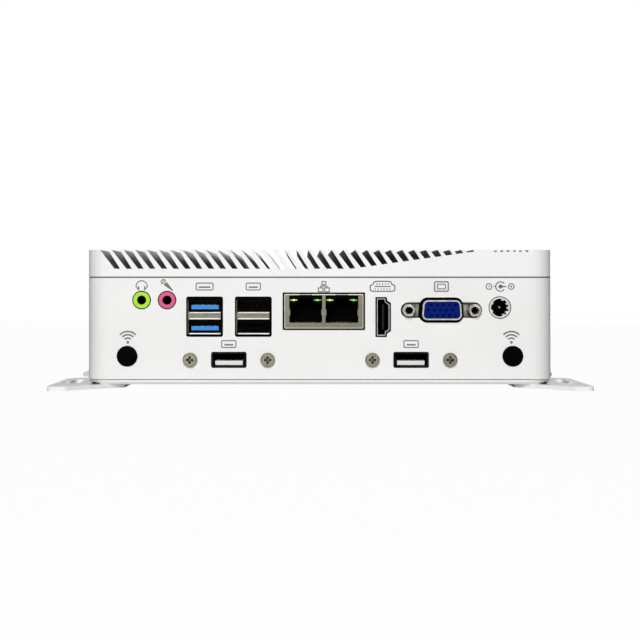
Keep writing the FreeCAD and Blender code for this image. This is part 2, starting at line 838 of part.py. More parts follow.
def coin_cell():
    cell_z = BOARD_Z + " - holder_base - coin_thickness"
    cell = facet_rod("coin_x", "coin_y", cell_z, "coin_radius", "coin_thickness", sides=24)
    node("coin_cell", cell)
    side = "2 * (coin_radius + holder_rim)"
    front = "coin_y - coin_radius - holder_rim"
    rim = box("coin_x", front, cell_z, side, side, "holder_base + coin_thickness")
    well = facet_rod(
        "coin_x", "coin_y", cell_z + " - 1", "coin_radius + screw_fit", "coin_thickness + 1", sides=24
    )
    node("coin_cell_holder", cut(rim, well))


# ---- Ports along the board's front edge, hung under it
def audio_jacks():
    z = BOARD_Z + " - audio_drop"
    bodies = []
    for name, x in (("audio_out_collar", "audio_out_x"), ("microphone_collar", "microphone_x")):
        top = BOARD_Z + " - audio_body_height"
        block = box(x, INNER, top, "audio_body_width", "audio_body_length", "audio_body_height")
        bore = rod(x, INNER + " - 1", z, "audio_bore_radius", "audio_body_length", ALONG_Y)
        bodies.append(cut(block, bore))
        collar = rod(x, FACE + " - port_gap", z, "audio_collar_radius", "wall + port_gap", ALONG_Y)
        hole = rod(x, FACE + " - 1", z, "audio_bore_radius", "wall + 2", ALONG_Y)
        node(name, cut(collar, hole))
    node("audio_jack_bodies", fuse(*bodies))


def usb_stack(x, shell_name, tongue_name):
    """Two sockets one over the other in a metal shell, with a tongue low in each."""
    middle = BOARD_Z + " - usb_drop"
    half = "(usb_port_height + usb_bar / 2 + usb_wall)"
    nose = FACE + " + usb_lip"
    front = box(x, nose, "%s - %s" % (middle, half), "usb_width", "usb_length - usb_lip", "2 * " + half)
    lips = [
        box(x, FACE, edge, "usb_width - 4 * usb_wall", "2 * usb_lip", "usb_wall")
        for edge in (
            "%s - %s" % (middle, half),
            middle + " - usb_bar / 2",
            middle + " + usb_bar / 2 - usb_wall",
        )
    ]
    top = "usb_drop - " + half
    rear = "usb_length - wall - port_gap"
    saddle = box(x, INNER + " + port_gap", "%s + %s" % (middle, half), "usb_width", rear, top)
    pockets, tongues = [], []
    wide = "usb_width - 2 * usb_wall"
    length = "usb_port_depth - tongue_recess"
    for low in (middle + " + usb_bar / 2", middle + " - usb_bar / 2 - usb_port_height"):
        pockets.append(box(x, FACE + " - 1", low, wide, "usb_port_depth + 1", "usb_port_height"))
        tongue_z = low + " + tongue_lift"
        tongues.append(
            box(x, FACE + " + tongue_recess", tongue_z, "tongue_width", length, "tongue_height")
        )
    node(shell_name, cut(fuse(front, saddle, *lips), *pockets))
    node(tongue_name, fuse(*tongues))


def network_socket():
    bottom = BOARD_Z + " - lan_height"
    inner = "lan_width - 2 * lan_plate"
    tall = "lan_height - 2 * lan_plate"
    outer = box("lan_x", FACE, bottom, "lan_width", "lan_length", "lan_height")
    room = box("lan_x", FACE + " + lan_plate", bottom + " + lan_plate", inner, "lan_length", tall)
    holes, bumps, plugs = [], [], []
    lamps = {-1: [], 1: []}
    for side in (-1, 1):
        x = "(lan_x + %d * lan_port_pitch / 2)" % side
        base = bottom + " + lan_port_base"
        holes.append(box(x, FACE + " - 1", base, "lan_port_width", "lan_plate + 2", "lan_port_height"))
        top = bottom + " + lan_height - 2 * lan_plate"
        holes.append(box(x, FACE + " - 1", top, "lan_tab_gap", "lan_plate + 3", "3 * lan_plate"))
        plugs.append(box(x, FACE + " - 1", base, "plug_width", "plug_depth + 1", "plug_height"))
        tall_plug = "plug_height + latch_height"
        plugs.append(box(x, FACE + " - 1", base, "latch_width", "plug_depth + 1", tall_plug))
        for edge in (-1, 1):
            rim = "%s + %d * (lan_port_width / 2 - lan_bump / 2)" % (x, edge)
            bump_z = base + " + lan_bump_base - lan_bump_height"
            bumps.append(box(rim, FACE, bump_z, "lan_bump", "lan_plate", "lan_bump_height"))
            lamp_x = "%s + %d * (plug_width / 2 - lamp_width / 2)" % (x, edge)
            lamp_z = base + " + plug_height + latch_height - lamp_height"
            lamp_y = FACE + " + lan_plate"
            lamps[edge].append(box(lamp_x, lamp_y, lamp_z, "lamp_width", "lan_length - 2", "lamp_height"))
    shell = cut(outer, room, *holes)
    node("lan_shell", fuse(shell, *bumps))
    deep = "lan_length - lan_plate"
    block = box("lan_x", FACE + " + lan_plate", bottom + " + lan_plate", inner, deep, tall)
    wells = [
        box(
            "(lan_x + %d * lan_port_pitch / 2) + %d * (plug_width / 2 - lamp_width / 2)" % (side, edge),
            FACE,
            bottom + " + lan_port_base + plug_height + latch_height - lamp_height",
            "lamp_width",
            "lan_length - 2 + lan_plate",
            "lamp_height",
        )
        for side in (-1, 1)
        for edge in (-1, 1)
    ]
    node("lan_insert", cut(block, *plugs, *wells))
    node("lan_link_lamps", fuse(*lamps[-1]))
    node("lan_speed_lamps", fuse(*lamps[1]))


def digital_video_socket():
    z = BOARD_Z + " - digital_drop"
    outer = prism(digital_outline("0"), "digital_length", "digital_x", FACE, z)
    inner = prism(digital_outline("-digital_wall"), "digital_depth + 1", "digital_x", FACE + " - 1", z)
    top = z + " + digital_height / 2"
    wide = "digital_width - 2 * digital_step_x"
    rear = "digital_length - wall - port_gap"
    saddle = box("digital_x", INNER + " + port_gap", top, wide, rear, "digital_drop - digital_height / 2")
    node("digital_video_shell", cut(fuse(outer, saddle), inner))
    length = "digital_depth - digital_tongue_recess"
    node(
        "digital_video_tongue",
        box(
            "digital_x",
            FACE + " + digital_tongue_recess",
            z + " - digital_tongue_height / 2",
            "digital_tongue_thickness",
            length,
            "digital_tongue_height",
        ),
    )


def analogue_video_socket():
    z = BOARD_Z + " - video_drop"
    nose = INNER + " + video_flange - video_length"
    plate_z = z + " - video_flange_height / 2"
    flange = box("video_x", INNER, plate_z, "video_flange_width", "video_flange", "video_flange_height")
    outer = prism(video_outline("0"), "video_length", "video_x", nose, z, "video_round")
    hollow = prism(
        video_outline("-video_wall"),
        "video_length + 2",
        "video_x",
        nose + " - 1",
        z,
        "video_round - video_wall",
    )
    x = "video_x + %d * jackscrew_spacing / 2"
    holes = [
        facet_rod(x % side, INNER + " - 1", z, "screw_radius + screw_fit", "video_flange + 2", ALONG_Y)
        for side in (-1, 1)
    ]
    node("analogue_video_shell", cut(fuse(flange, outer), hollow, *holes))
    tip = nose + " + video_insert_recess"
    core = prism(
        video_outline("-(video_wall + screw_fit)"),
        "video_length - video_insert_recess",
        "video_x",
        tip,
        z,
        "video_round - video_wall - screw_fit",
    )
    pins = []
    for row in (-1, 0, 1):
        for column in range(-2, 3):
            shift = 0.25 if row else -0.25
            px = "video_x + %g * pin_pitch" % (column + shift)
            pz = "%s + %d * pin_row_pitch" % (z, row)
            pins.append(facet_rod(px, tip + " - 1", pz, "pin_radius", "pin_depth + 1", ALONG_Y, 8))
    node("analogue_video_insert", cut(core, *pins))
    rear = INNER + " + video_flange"
    height = "video_drop + video_height / 2"
    block = box("video_x", rear, z + " - video_height / 2", "video_body_width", "video_body_length", height)
    node("analogue_video_housing", block)
    screws = []
    for side in (-1, 1):
        nut = doc.addObject("Part::Prism", "Hexagon")
        nut.Polygon = 6
        bind(nut, Circumradius="jackscrew_flats / 1.7320508", Height="jackscrew_length")
        nut.Placement.Rotation = ALONG_Y
        place(nut, x % side, INNER + " - jackscrew_length", z)
        stem = facet_rod(x % side, INNER, z, "screw_radius", "video_flange", ALONG_Y)
        bore_y = INNER + " - jackscrew_length - 1"
        bore = rod(x % side, bore_y, z, "jackscrew_bore", "jackscrew_depth + 1", ALONG_Y)
        screws.append(cut(fuse(nut, stem), bore))
    node("video_jackscrews", fuse(*screws))


def power_inlet():
    z = BOARD_Z + " - power_drop"
    ring = rod("power_x", FACE, z, "power_ring_radius", "power_ring_length", ALONG_Y)
    inside = "power_ring_radius - power_ring_wall"
    bore = rod("power_x", FACE + " - 1", z, inside, "power_ring_length + 2", ALONG_Y)
    node("power_inlet_ring", cut(ring, bore))
    low = z + " - power_body_width / 2"
    height = "power_drop + power_body_width / 2"
    block = box("power_x", INNER, low, "power_body_width", "power_body_length", height)
    seat_depth = "power_ring_length - wall + 1"
    seat = facet_rod("power_x", INNER + " - 1", z, "power_ring_radius + screw_fit", seat_depth, ALONG_Y, 24)
    node("power_inlet_body", cut(block, seat))
    length = "power_ring_length - power_pin_recess"
    pin = rod("power_x", FACE + " + power_pin_recess", z, "power_pin_radius", length, ALONG_Y)
    node("power_inlet_pin", pin)


# ---- Lower USB sockets: each on a small board under an L-shaped holder, screwed to the wall
def lower_usb_sockets():
    shells, tongues, boards, holders, screws = [], [], [], [], []
    low = LOWER_Z + " - lower_height / 2"
    board_z = LOWER_Z + " + lower_height / 2"
    shelf_z = board_z + " + lower_board_thickness"
    port_high = "lower_height - 2 * usb_wall"
    for side in (-1, 1):
        x = "%d * lower_x" % side
        block = box(x, FACE, low, "lower_width", "lower_length", "lower_height")
        port_wide = "lower_width - 2 * usb_wall"
        pocket = box(x, FACE + " - 1", low + " + usb_wall", port_wide, "usb_port_depth + 1", port_high)
        shells.append(cut(block, pocket))
        length = "usb_port_depth - tongue_recess / 2"
        tongue_y = FACE + " + tongue_recess / 2"
        tongues.append(
            box(x, tongue_y, low + " + 2 * usb_wall", "tongue_width", length, "tongue_height")
        )
        board_y = INNER + " + lower_plate"
        boards.append(
            box(x, board_y, board_z, "lower_board_width", "lower_board_length", "lower_board_thickness")
        )
        plate_low = LOWER_Z + " - lower_plate_height / 2"
        rise = "lower_plate_height / 2 + lower_height / 2 + lower_board_thickness + lower_shelf"
        plate = box(x, INNER, plate_low, "lower_plate_width", "lower_plate", "lower_plate_height")
        riser = box(x, INNER, plate_low, "lower_board_width", "lower_plate", rise)
        shelf = box(x, INNER, shelf_z, "lower_board_width", "lower_plate + lower_board_length", "lower_shelf")
        wide = "lower_width + 2 * port_gap"
        tall = "lower_height + port_gap"
        opening = box(x, INNER + " - 1", low + " - port_gap", wide, "lower_plate + 2", tall)
        taps = []
        for end in (-1, 1):
            bolt = "%s + %d * lower_screw_pitch / 2" % (x, end)
            tap_y = INNER + " - 1"
            tap_radius = "screw_radius + screw_fit"
            taps.append(facet_rod(bolt, tap_y, LOWER_Z, tap_radius, "lower_plate + 2", ALONG_Y))
            head_y = FACE + " - lower_screw_head_height"
            head = rod(bolt, head_y, LOWER_Z, "lower_screw_head", "lower_screw_head_height", ALONG_Y)
            reach = "lower_screw_head_height + wall + lower_plate + 1"
            stem = facet_rod(bolt, head_y, LOWER_Z, "screw_radius", reach, ALONG_Y)
            screws.append(fuse(head, stem))
        holders.append(cut(fuse(plate, riser, shelf), opening, *taps))
    node("lower_usb_shells", fuse(*shells))
    node("lower_usb_tongues", fuse(*tongues))
    node("lower_usb_boards", fuse(*boards))
    node("lower_usb_holders", fuse(*holders))
    node("lower_usb_screws", fuse(*screws))


def antenna_hole_plugs():
    plugs = []
    for side in (-1, 1):
        x, z = "%d * %s" % (side, PLUG_X), "bracket_thickness + plug_z"
        head = rod(x, FACE + " - plug_head_height", z, "plug_head_radius", "plug_head_height", ALONG_Y)
        plugs.append(fuse(head, facet_rod(x, FACE, z, "plug_barrel_radius", "plug_barrel_length", ALONG_Y)))
    node("antenna_hole_plugs", fuse(*plugs))


# ---- Rear wall: a push button in its barrel, and two lamps
def power_button():
    z = "bracket_thickness + button_z"
    cap_end = REAR + " + bezel_height + button_proud - button_length"
    node("power_button_cap", rod("button_x", cap_end, z, "button_radius", "button_length", ALONG_Y))
    floor_y = cap_end + " - button_travel - button_gap"
    length = "button_length - button_proud + button_travel + button_gap + barrel_floor"
    barrel = facet_rod("button_x", floor_y + " - barrel_floor", z, "barrel_radius", length, ALONG_Y, 24)
    bezel = rod("button_x", REAR, z, "bezel_radius", "bezel_height", ALONG_Y)
    well = rod("button_x", floor_y, z, "button_radius + button_gap", "2 * button_length", ALONG_Y)
    node("power_button_barrel", cut(fuse(barrel, bezel), well))
    nut = doc.addObject("Part::Prism", "Hexagon")
    nut.Polygon = 6
    bind(nut, Circumradius="nut_radius", Height="nut_height")
    nut.Placement.Rotation = ALONG_Y
    place(nut, "button_x", REAR + " - wall - nut_height", z)
    hole_y = REAR + " - wall - nut_height - 1"
    hole = facet_rod("button_x", hole_y, z, "barrel_radius + plug_fit", "nut_height + 2", ALONG_Y, 24)
    node("power_button_nut", cut(nut, hole))
    lamps = []
    for step in (0, 1):
        x = "lamp_x + %d * lamp_pitch" % step
        start = REAR + " - wall - lamp_collar_height"
        lens = rod(x, start, z, "lamp_radius", "lamp_collar_height + wall + lamp_proud", ALONG_Y)
        lamps.append(fuse(lens, facet_rod(x, start, z, "lamp_collar", "lamp_collar_height", ALONG_Y)))
    node("rear_lamps", fuse(*lamps))


finned_cover()
chassis_frame()
bottom_cover()
mounting_brackets()
case_fasteners()
main_board()
processor_stack()
board_cards()
coin_cell()
audio_jacks()
usb_stack("usb_three_x", "usb_three_shell", "usb_three_tongues")
usb_stack("usb_two_x", "usb_two_shell", "usb_two_tongues")
network_socket()
digital_video_socket()
analogue_video_socket()
power_inlet()
lower_usb_sockets()
antenna_hole_plugs()
power_button()
doc.recompute()

for thing in doc.Objects:
    if {"Invalid", "Error"} & set(thing.State):
        raise SystemExit("%s (%s) failed: %s" % (thing.Label, thing.Name, thing.State))
for thing in NODES:
    if thing.Shape.isNull() or not thing.Shape.isValid():
        raise SystemExit("%s has no valid shape" % thing.Label)
os.makedirs("parts", exist_ok=True)
for thing in NODES:
    thing.Shape.exportStep("parts/%s.step" % thing.Label)
    print("%-24s %2d solids %10.1f mm3" % (thing.Label, len(thing.Shape.Solids), thing.Shape.Volume))
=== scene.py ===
import bmesh
import bpy
import math
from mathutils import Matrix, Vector


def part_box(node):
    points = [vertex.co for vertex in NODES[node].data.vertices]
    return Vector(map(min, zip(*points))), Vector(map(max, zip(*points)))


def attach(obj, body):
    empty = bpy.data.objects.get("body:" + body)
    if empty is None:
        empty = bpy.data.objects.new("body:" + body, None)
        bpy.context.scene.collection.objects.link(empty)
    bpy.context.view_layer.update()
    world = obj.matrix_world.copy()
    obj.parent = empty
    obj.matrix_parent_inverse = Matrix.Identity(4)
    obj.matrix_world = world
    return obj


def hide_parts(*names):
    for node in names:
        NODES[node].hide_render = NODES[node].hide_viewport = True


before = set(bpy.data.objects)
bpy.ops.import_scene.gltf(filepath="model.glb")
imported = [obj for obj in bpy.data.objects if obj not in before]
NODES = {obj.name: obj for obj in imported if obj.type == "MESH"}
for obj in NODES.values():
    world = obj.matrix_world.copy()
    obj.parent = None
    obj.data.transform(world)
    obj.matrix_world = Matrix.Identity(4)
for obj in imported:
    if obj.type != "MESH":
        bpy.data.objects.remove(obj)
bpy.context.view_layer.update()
MM = 0.001
FACE_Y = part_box("chassis_frame")[0][1]  # the outside of the port wall


# ---- camera: square on to the port side, as in a product photograph
CAMERA_DISTANCE = 555 * MM  # from the port wall
CAMERA_X, CAMERA_Z = -7.4 * MM, 37.8 * MM
LENS, SENSOR_WIDTH = 82.24, 36.0
LENS_SHIFT = (0.0305, -0.0484)


def add_camera():
    data = bpy.data.cameras.new("camera")
    data.sensor_width = SENSOR_WIDTH
    data.lens = LENS
    data.shift_x, data.shift_y = LENS_SHIFT
    data.clip_start = 0.01
    camera = bpy.data.objects.new("camera", data)
    camera.location = (CAMERA_X, FACE_Y - CAMERA_DISTANCE, CAMERA_Z)
    camera.rotation_euler = (math.radians(90), 0, 0)
    bpy.context.scene.collection.objects.link(camera)
    bpy.context.scene.camera = camera


# ---- node materials
COAT_SHADE_REACH, METAL_SHADE_REACH = 6 * MM, 12 * MM  # the widest gap that paint_gap_shade still darkens with painted shade
# strength of the painted glow on the lamp light guides, standing in for reflected light
PAINTED_LENS_GLOW = 0.38


def new_material(name):
    material = bpy.data.materials.new(name)
    material.use_nodes = True
    nodes = material.node_tree.nodes
    nodes.clear()
    out = nodes.new("ShaderNodeOutputMaterial")
    shader = nodes.new("ShaderNodeBsdfPrincipled")
    material.node_tree.links.new(shader.outputs[0], out.inputs[0])
    return material, nodes, material.node_tree.links, shader


def noise(nodes, links, scale, detail=3.0, stretch=None):
    coords = nodes.new("ShaderNodeTexCoord")
    texture = nodes.new("ShaderNodeTexNoise")
    texture.inputs["Scale"].default_value = scale
    texture.inputs["Detail"].default_value = detail
    source = coords.outputs["Object"]
    if stretch:
        mapping = nodes.new("ShaderNodeMapping")
        mapping.inputs["Scale"].default_value = stretch
        links.new(source, mapping.inputs[0])
        source = mapping.outputs[0]
    links.new(source, texture.inputs["Vector"])
    return texture


def vary_colour(nodes, links, shader, texture, low, high):
    ramp = nodes.new("ShaderNodeValToRGB")
    ramp.color_ramp.elements[0].position = 0.3
    ramp.color_ramp.elements[0].color = (*low, 1)
    ramp.color_ramp.elements[1].position = 0.7
    ramp.color_ramp.elements[1].color = (*high, 1)
    links.new(texture.outputs["Fac"], ramp.inputs[0])
    links.new(ramp.outputs[0], shader.inputs["Base Color"])


def vary_roughness(nodes, links, shader, texture, low, high):
    spread = nodes.new("ShaderNodeMapRange")
    spread.inputs["To Min"].default_value = low
    spread.inputs["To Max"].default_value = high
    links.new(texture.outputs["Fac"], spread.inputs["Value"])
    links.new(spread.outputs[0], shader.inputs["Roughness"])


def add_bump(nodes, links, shader, texture, strength, distance):
    bump = nodes.new("ShaderNodeBump")
    bump.inputs["Strength"].default_value = strength
    bump.inputs["Distance"].default_value = distance
    links.new(texture.outputs["Fac"], bump.inputs["Height"])
    links.new(bump.outputs[0], shader.inputs["Normal"])


def shade(colour, factor):
    return tuple(min(1.0, c * factor) for c in colour)


def paint_gap_shade(nodes, links, shader, reach, low, span):
    """Painted shade: deepens the colour in grooves, seams and hollows narrower than the reach."""
    depth = nodes.new("ShaderNodeAmbientOcclusion")
    depth.samples = 8
    depth.inputs["Distance"].default_value = reach
    spread = nodes.new("ShaderNodeMapRange")
    spread.inputs["From Min"].default_value = span[0]
    spread.inputs["From Max"].default_value = span[1]
    spread.inputs["To Min"].default_value = low
    spread.inputs["To Max"].default_value = 1.0
    tone = nodes.new("ShaderNodeHueSaturation")
    link = shader.inputs["Base Color"].links[0]
    links.new(link.from_socket, tone.inputs["Color"])
    links.new(depth.outputs["AO"], spread.inputs["Value"])
    links.new(spread.outputs[0], tone.inputs["Value"])
    links.new(tone.outputs[0], shader.inputs["Base Color"])


def powder_coat(name, colour, low=None, span=(0.12, 0.52)):
    """Powder coat: a close orange-peel grain, a faint unevenness and, with low, painted shade darkening its
    gaps.
    """
    material, nodes, links, shader = new_material(name)
    vary_colour(nodes, links, shader, noise(nodes, links, 45), shade(colour, 0.985), shade(colour, 1.01))
    if low:
        paint_gap_shade(nodes, links, shader, COAT_SHADE_REACH, low, span)
    grain = noise(nodes, links, 2600, 4)
    vary_roughness(nodes, links, shader, grain, 0.44, 0.6)
    add_bump(nodes, links, shader, grain, 0.16, 0.00006)
    return material


def plated(name, colour, rough=(0.22, 0.42), stretch=(1, 1, 1), scale=900, low=None, metal=1.0):
    """Plated metal with a fine rolled grain and, with low, painted shade darkening its inside."""
    material, nodes, links, shader = new_material(name)
    shader.inputs["Metallic"].default_value = metal
    texture = noise(nodes, links, scale, 5, stretch)
    vary_colour(nodes, links, shader, texture, shade(colour, 0.88), shade(colour, 1.06))
    if low:
        paint_gap_shade(nodes, links, shader, METAL_SHADE_REACH, low, (0.3, 0.5))
    vary_roughness(nodes, links, shader, texture, *rough)
    add_bump(nodes, links, shader, texture, 0.12, 0.00004)
    return material


def moulding(name, colour, rough=(0.35, 0.5), spread=0.12, gloss=0.3):
    """Moulded plastic with a faint grain."""
    material, nodes, links, shader = new_material(name)
    shader.inputs["Specular IOR Level"].default_value = gloss
    texture = noise(nodes, links, 1500, 3)
    vary_colour(nodes, links, shader, texture, shade(colour, 1 - spread), shade(colour, 1 + spread))
    vary_roughness(nodes, links, shader, texture, *rough)
    add_bump(nodes, links, shader, texture, 0.1, 0.00003)
    return material


def painted_glow_lens(name, colour):
    """A light guide with a faint painted glow, standing in for the light it reflects."""
    material = moulding(name, colour, (0.1, 0.2), 0.05)
    shader = material.node_tree.nodes["Principled BSDF"]
    shader.inputs["Emission Color"].default_value = (*colour, 1)
    shader.inputs["Emission Strength"].default_value = PAINTED_LENS_GLOW
    return material


# Materials given low carry painted shade: their slots, seams, recesses and socket insides are darkened in
# the colour.
FINNED_COAT = powder_coat("finned_powder_coat", (0.91, 0.91, 0.9), low=0.1, span=(0.15, 0.7))
COAT = powder_coat("white_powder_coat", (0.885, 0.885, 0.875), low=0.08)
FLOOR_COAT = powder_coat("floor_powder_coat", (0.885, 0.885, 0.875))
BRACKET = powder_coat("bracket_powder_coat", (0.92, 0.92, 0.91))
SHELL = plated("tin_plate", (0.285, 0.27, 0.205), low=0.04)
SHADED_SHELL = plated("shaded_tin_plate", (0.025, 0.025, 0.022), low=0.04)
FLANGE = plated("flange_plate", (0.66, 0.63, 0.54), low=0.05)
# A near-white copy of the socket plating: a painted highlight on rolled edges, rims and leaf contacts.
HIGHLIGHT_PLATE = plated("rolled_edge_painted_highlight", (0.93, 0.92, 0.88), (0.35, 0.5), metal=0.25)
RING = plated("turned_ring", (0.88, 0.87, 0.84), (0.3, 0.45), low=0.03, metal=0.4)
BRIGHT = plated("bright_nickel", (0.83, 0.82, 0.79), (0.12, 0.28))
SCREW = plated("screw_nickel", (0.42, 0.41, 0.3), (0.25, 0.42), low=0.03)
JACK = plated("jackscrew_nickel", (0.82, 0.81, 0.73), (0.2, 0.35), low=0.02)
GOLD = plated("gold_flash", (0.86, 0.6, 0.22), (0.2, 0.35))
BLACK = moulding("black_moulding", (0.0018, 0.0015, 0.0015), (0.45, 0.6), gloss=0.015)
# dark grey for the strip in the cover seam: painted shade in the groove
SEAM_SHADE = moulding("grey_seam_shade", (0.13, 0.13, 0.125), (0.6, 0.7))
# A shade lighter than the black moulding: a painted sheen on the video socket's tongue.
PAINTED_SHEEN_BLACK = moulding("black_moulding_painted_sheen", (0.016, 0.016, 0.017), (0.45, 0.6), gloss=0.05)
WHITE = moulding("white_moulding", (0.82, 0.83, 0.78), spread=0.03)
BLUE = moulding("blue_moulding", (0.045, 0.29, 0.78), spread=0.08)
DEEP_BLUE = moulding("deep_blue_moulding", (0.001, 0.013, 0.17), (0.45, 0.6), 0.08, 0.04)
GREEN = moulding("green_moulding", (0.45, 0.8, 0.035), spread=0.05)
PINK = moulding("pink_moulding", (0.72, 0.105, 0.25), spread=0.05)
YELLOW_LENS = painted_glow_lens("yellow_lens", (0.72, 0.8, 0.12))
GREEN_LENS = painted_glow_lens("green_lens", (0.22, 0.72, 0.08))
CLEAR_LENS = moulding("clear_lens", (0.62, 0.68, 0.7), (0.08, 0.15), 0.04)
LAMINATE = moulding("board_laminate", (0.015, 0.12, 0.05), (0.3, 0.45), 0.2)
PAD = moulding("thermal_pad_grey", (0.3, 0.33, 0.36), (0.7, 0.8), 0.08)
ALUMINIUM = plated("milled_aluminium", (0.82, 0.82, 0.82), (0.3, 0.45), (1, 30, 1), 200)
INK = moulding("grey_ink", (0.2, 0.2, 0.18), (0.55, 0.65), 0.04)

LOOKS = {
    FINNED_COAT: ["heatsink_cover"],
    COAT: ["chassis_frame"],
    FLOOR_COAT: ["bottom_cover"],
    BRACKET: ["mount_bracket_left", "mount_bracket_right"],
    SHELL: ["usb_three_shell", "usb_two_shell", "lan_shell"],
    SHADED_SHELL: ["digital_video_shell", "lower_usb_shells"],
    FLANGE: ["analogue_video_shell"],
    RING: ["power_inlet_ring", "power_button_cap", "power_button_barrel"],
    BRIGHT: ["video_jackscrews", "power_button_nut", "coin_cell"],
    SCREW: ["case_screws", "bracket_screws", "lower_usb_screws", "board_screws", "board_standoffs",
            "lower_usb_holders", "card_posts"],
    GOLD: ["power_inlet_pin"],
    BLACK: ["memory_socket", "card_sockets", "coin_cell_holder", "audio_jack_bodies", "usb_two_tongues",
            "lan_insert", "analogue_video_housing", "power_inlet_body",
            "antenna_hole_plugs", "processor_package"],
    PAINTED_SHEEN_BLACK: ["digital_video_tongue"],
    WHITE: ["lower_usb_tongues"],
    BLUE: ["usb_three_tongues"],
    DEEP_BLUE: ["analogue_video_insert"],
    GREEN: ["audio_out_collar"],
    PINK: ["microphone_collar"],
    YELLOW_LENS: ["lan_link_lamps"],
    GREEN_LENS: ["lan_speed_lamps"],
    CLEAR_LENS: ["rear_lamps"],
    LAMINATE: ["main_board", "memory_module", "storage_card", "wireless_card", "lower_usb_boards"],
    PAD: ["thermal_pad"],
    ALUMINIUM: ["heat_block"],
}


def dress_nodes():
    for material, names in LOOKS.items():
        for name in names:
            for slot in NODES[name].material_slots:
                slot.material = material


# ---- mesh-built detail that stands in for plain CAD pieces or sits on them
STACKS = ("usb_three_shell", "usb_two_shell")
CASE_CORNER = 8 * MM


def add_piece(name, mesh, material, body, slot, *stands_for, weld=True):
    if weld:
        bmesh.ops.remove_doubles(mesh, verts=mesh.verts, dist=1e-7)
    bmesh.ops.recalc_face_normals(mesh, faces=mesh.faces)
    data = bpy.data.meshes.new(name)
    mesh.to_mesh(data)
    mesh.free()
    piece = bpy.data.objects.new(name, data)
    data.materials.append(material)
    bpy.context.scene.collection.objects.link(piece)
    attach(piece, body)
    if stands_for:
        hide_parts(*stands_for)


def circle(x, z, radius, steps=40):
    turns = [2 * math.pi * i / steps for i in range(steps)]
    return [(x + radius * math.cos(a), z + radius * math.sin(a)) for a in turns]


def join_rows(mesh, rows):
    """Faces between each closed row of vertices and the next."""
    for near, far in zip(rows, rows[1:]):
        for i in range(len(near)):
            j = (i + 1) % len(near)
            mesh.faces.new((near[i], near[j], far[j], far[i]))


def turned(mesh, start, axis, profile, sides=40):
    """Adds a turned form: the profile's (radius, distance along the axis) pairs swept round it."""
    facing = Vector(axis).to_track_quat("Z", "Y")
    rings = [
        [mesh.verts.new(start + facing @ Vector((x, y, reach))) for x, y in circle(0, 0, radius, sides)]
        for radius, reach in profile
    ]
    join_rows(mesh, rings)
    for ring in (rings[0], rings[-1]):
        mesh.faces.new(ring)


def slab(mesh, low, high):
    """Adds a block between two corners, with its front edges eased."""
    ease = 0.12 * min(b - a for a, b in zip(low, high))
    rows = []
    for y, inset in ((low[1], ease), (low[1] + ease, 0), (high[1], 0)):
        rows.append([
            mesh.verts.new((x, y, z))
            for x, z in (
                (low[0] + inset, low[2] + inset), (high[0] - inset, low[2] + inset),
                (high[0] - inset, high[2] - inset), (low[0] + inset, high[2] - inset),
            )
        ])
    mesh.faces.new(rows[0])
    mesh.faces.new(rows[-1])
    join_rows(mesh, rows)


def centre(node):
    low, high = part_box(node)
    return Vector([(a + b) / 2 for a, b in zip(low, high)])


def front_middle(node):
    """The middle of a node's foremost end."""
    low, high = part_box(node)
    return Vector(((low[0] + high[0]) / 2, low[1], (low[2] + high[2]) / 2))


def boxes_of(node):
    """The bounds of each separate solid of a node."""
    mesh = bmesh.new()
    mesh.from_mesh(NODES[node].data)
    bmesh.ops.remove_doubles(mesh, verts=mesh.verts, dist=1e-6)
    found, seen = [], set()
    for start in mesh.verts:
        if start in seen:
            continue
        group, stack = [], [start]
        seen.add(start)
        while stack:
            vert = stack.pop()
            group.append(vert.co.copy())
            for edge in vert.link_edges:
                other = edge.other_vert(vert)
                if other not in seen:
                    seen.add(other)
                    stack.append(other)
        low = Vector([min(c[i] for c in group) for i in range(3)])
        high = Vector([max(c[i] for c in group) for i in range(3)])
        found.append((low, high))
    mesh.free()
    return sorted(found, key=lambda pair: (round(pair[0].x, 4), pair[0].y))


def cross_recess(mesh, middle, radius, half_width, y_face, depth):
    """Adds a screw's face with a cross-shaped recess, and returns the face's rim."""
    w, r, taper = half_width, radius * 0.58, 0.7
    cross = [(w, w), (w, r), (-w, r), (-w, w), (-r, w), (-r, -w),
             (-w, -w), (-w, -r), (w, -r), (w, -w), (r, -w), (r, w)]
    angles = [math.atan2(v, u) for u, v in cross]

    def on_rim(a):
        x, z = radius * math.cos(a), radius * math.sin(a)
        return mesh.verts.new((middle.x + x, y_face, middle.z + z))

    def cross_at(scale, y):
        return [mesh.verts.new((middle.x + u * scale, y, middle.z + v * scale)) for u, v in cross]

    rim = [on_rim(a) for a in angles]
    edge = cross_at(1, y_face)
    pit = cross_at(taper, y_face + depth)
    outer = []
    for i in range(len(cross)):
        j = (i + 1) % len(cross)
        start, end = angles[i], angles[j]
        if end < start:
            end += 2 * math.pi
        between = [on_rim(start + (end - start) * k / 4) for k in (1, 2, 3)]
        mesh.faces.new([rim[i], *between, rim[j], edge[j], edge[i]])
        mesh.faces.new((edge[i], edge[j], pit[j], pit[i]))
        outer += [rim[i], *between]
    mesh.faces.new(pit)
    return outer


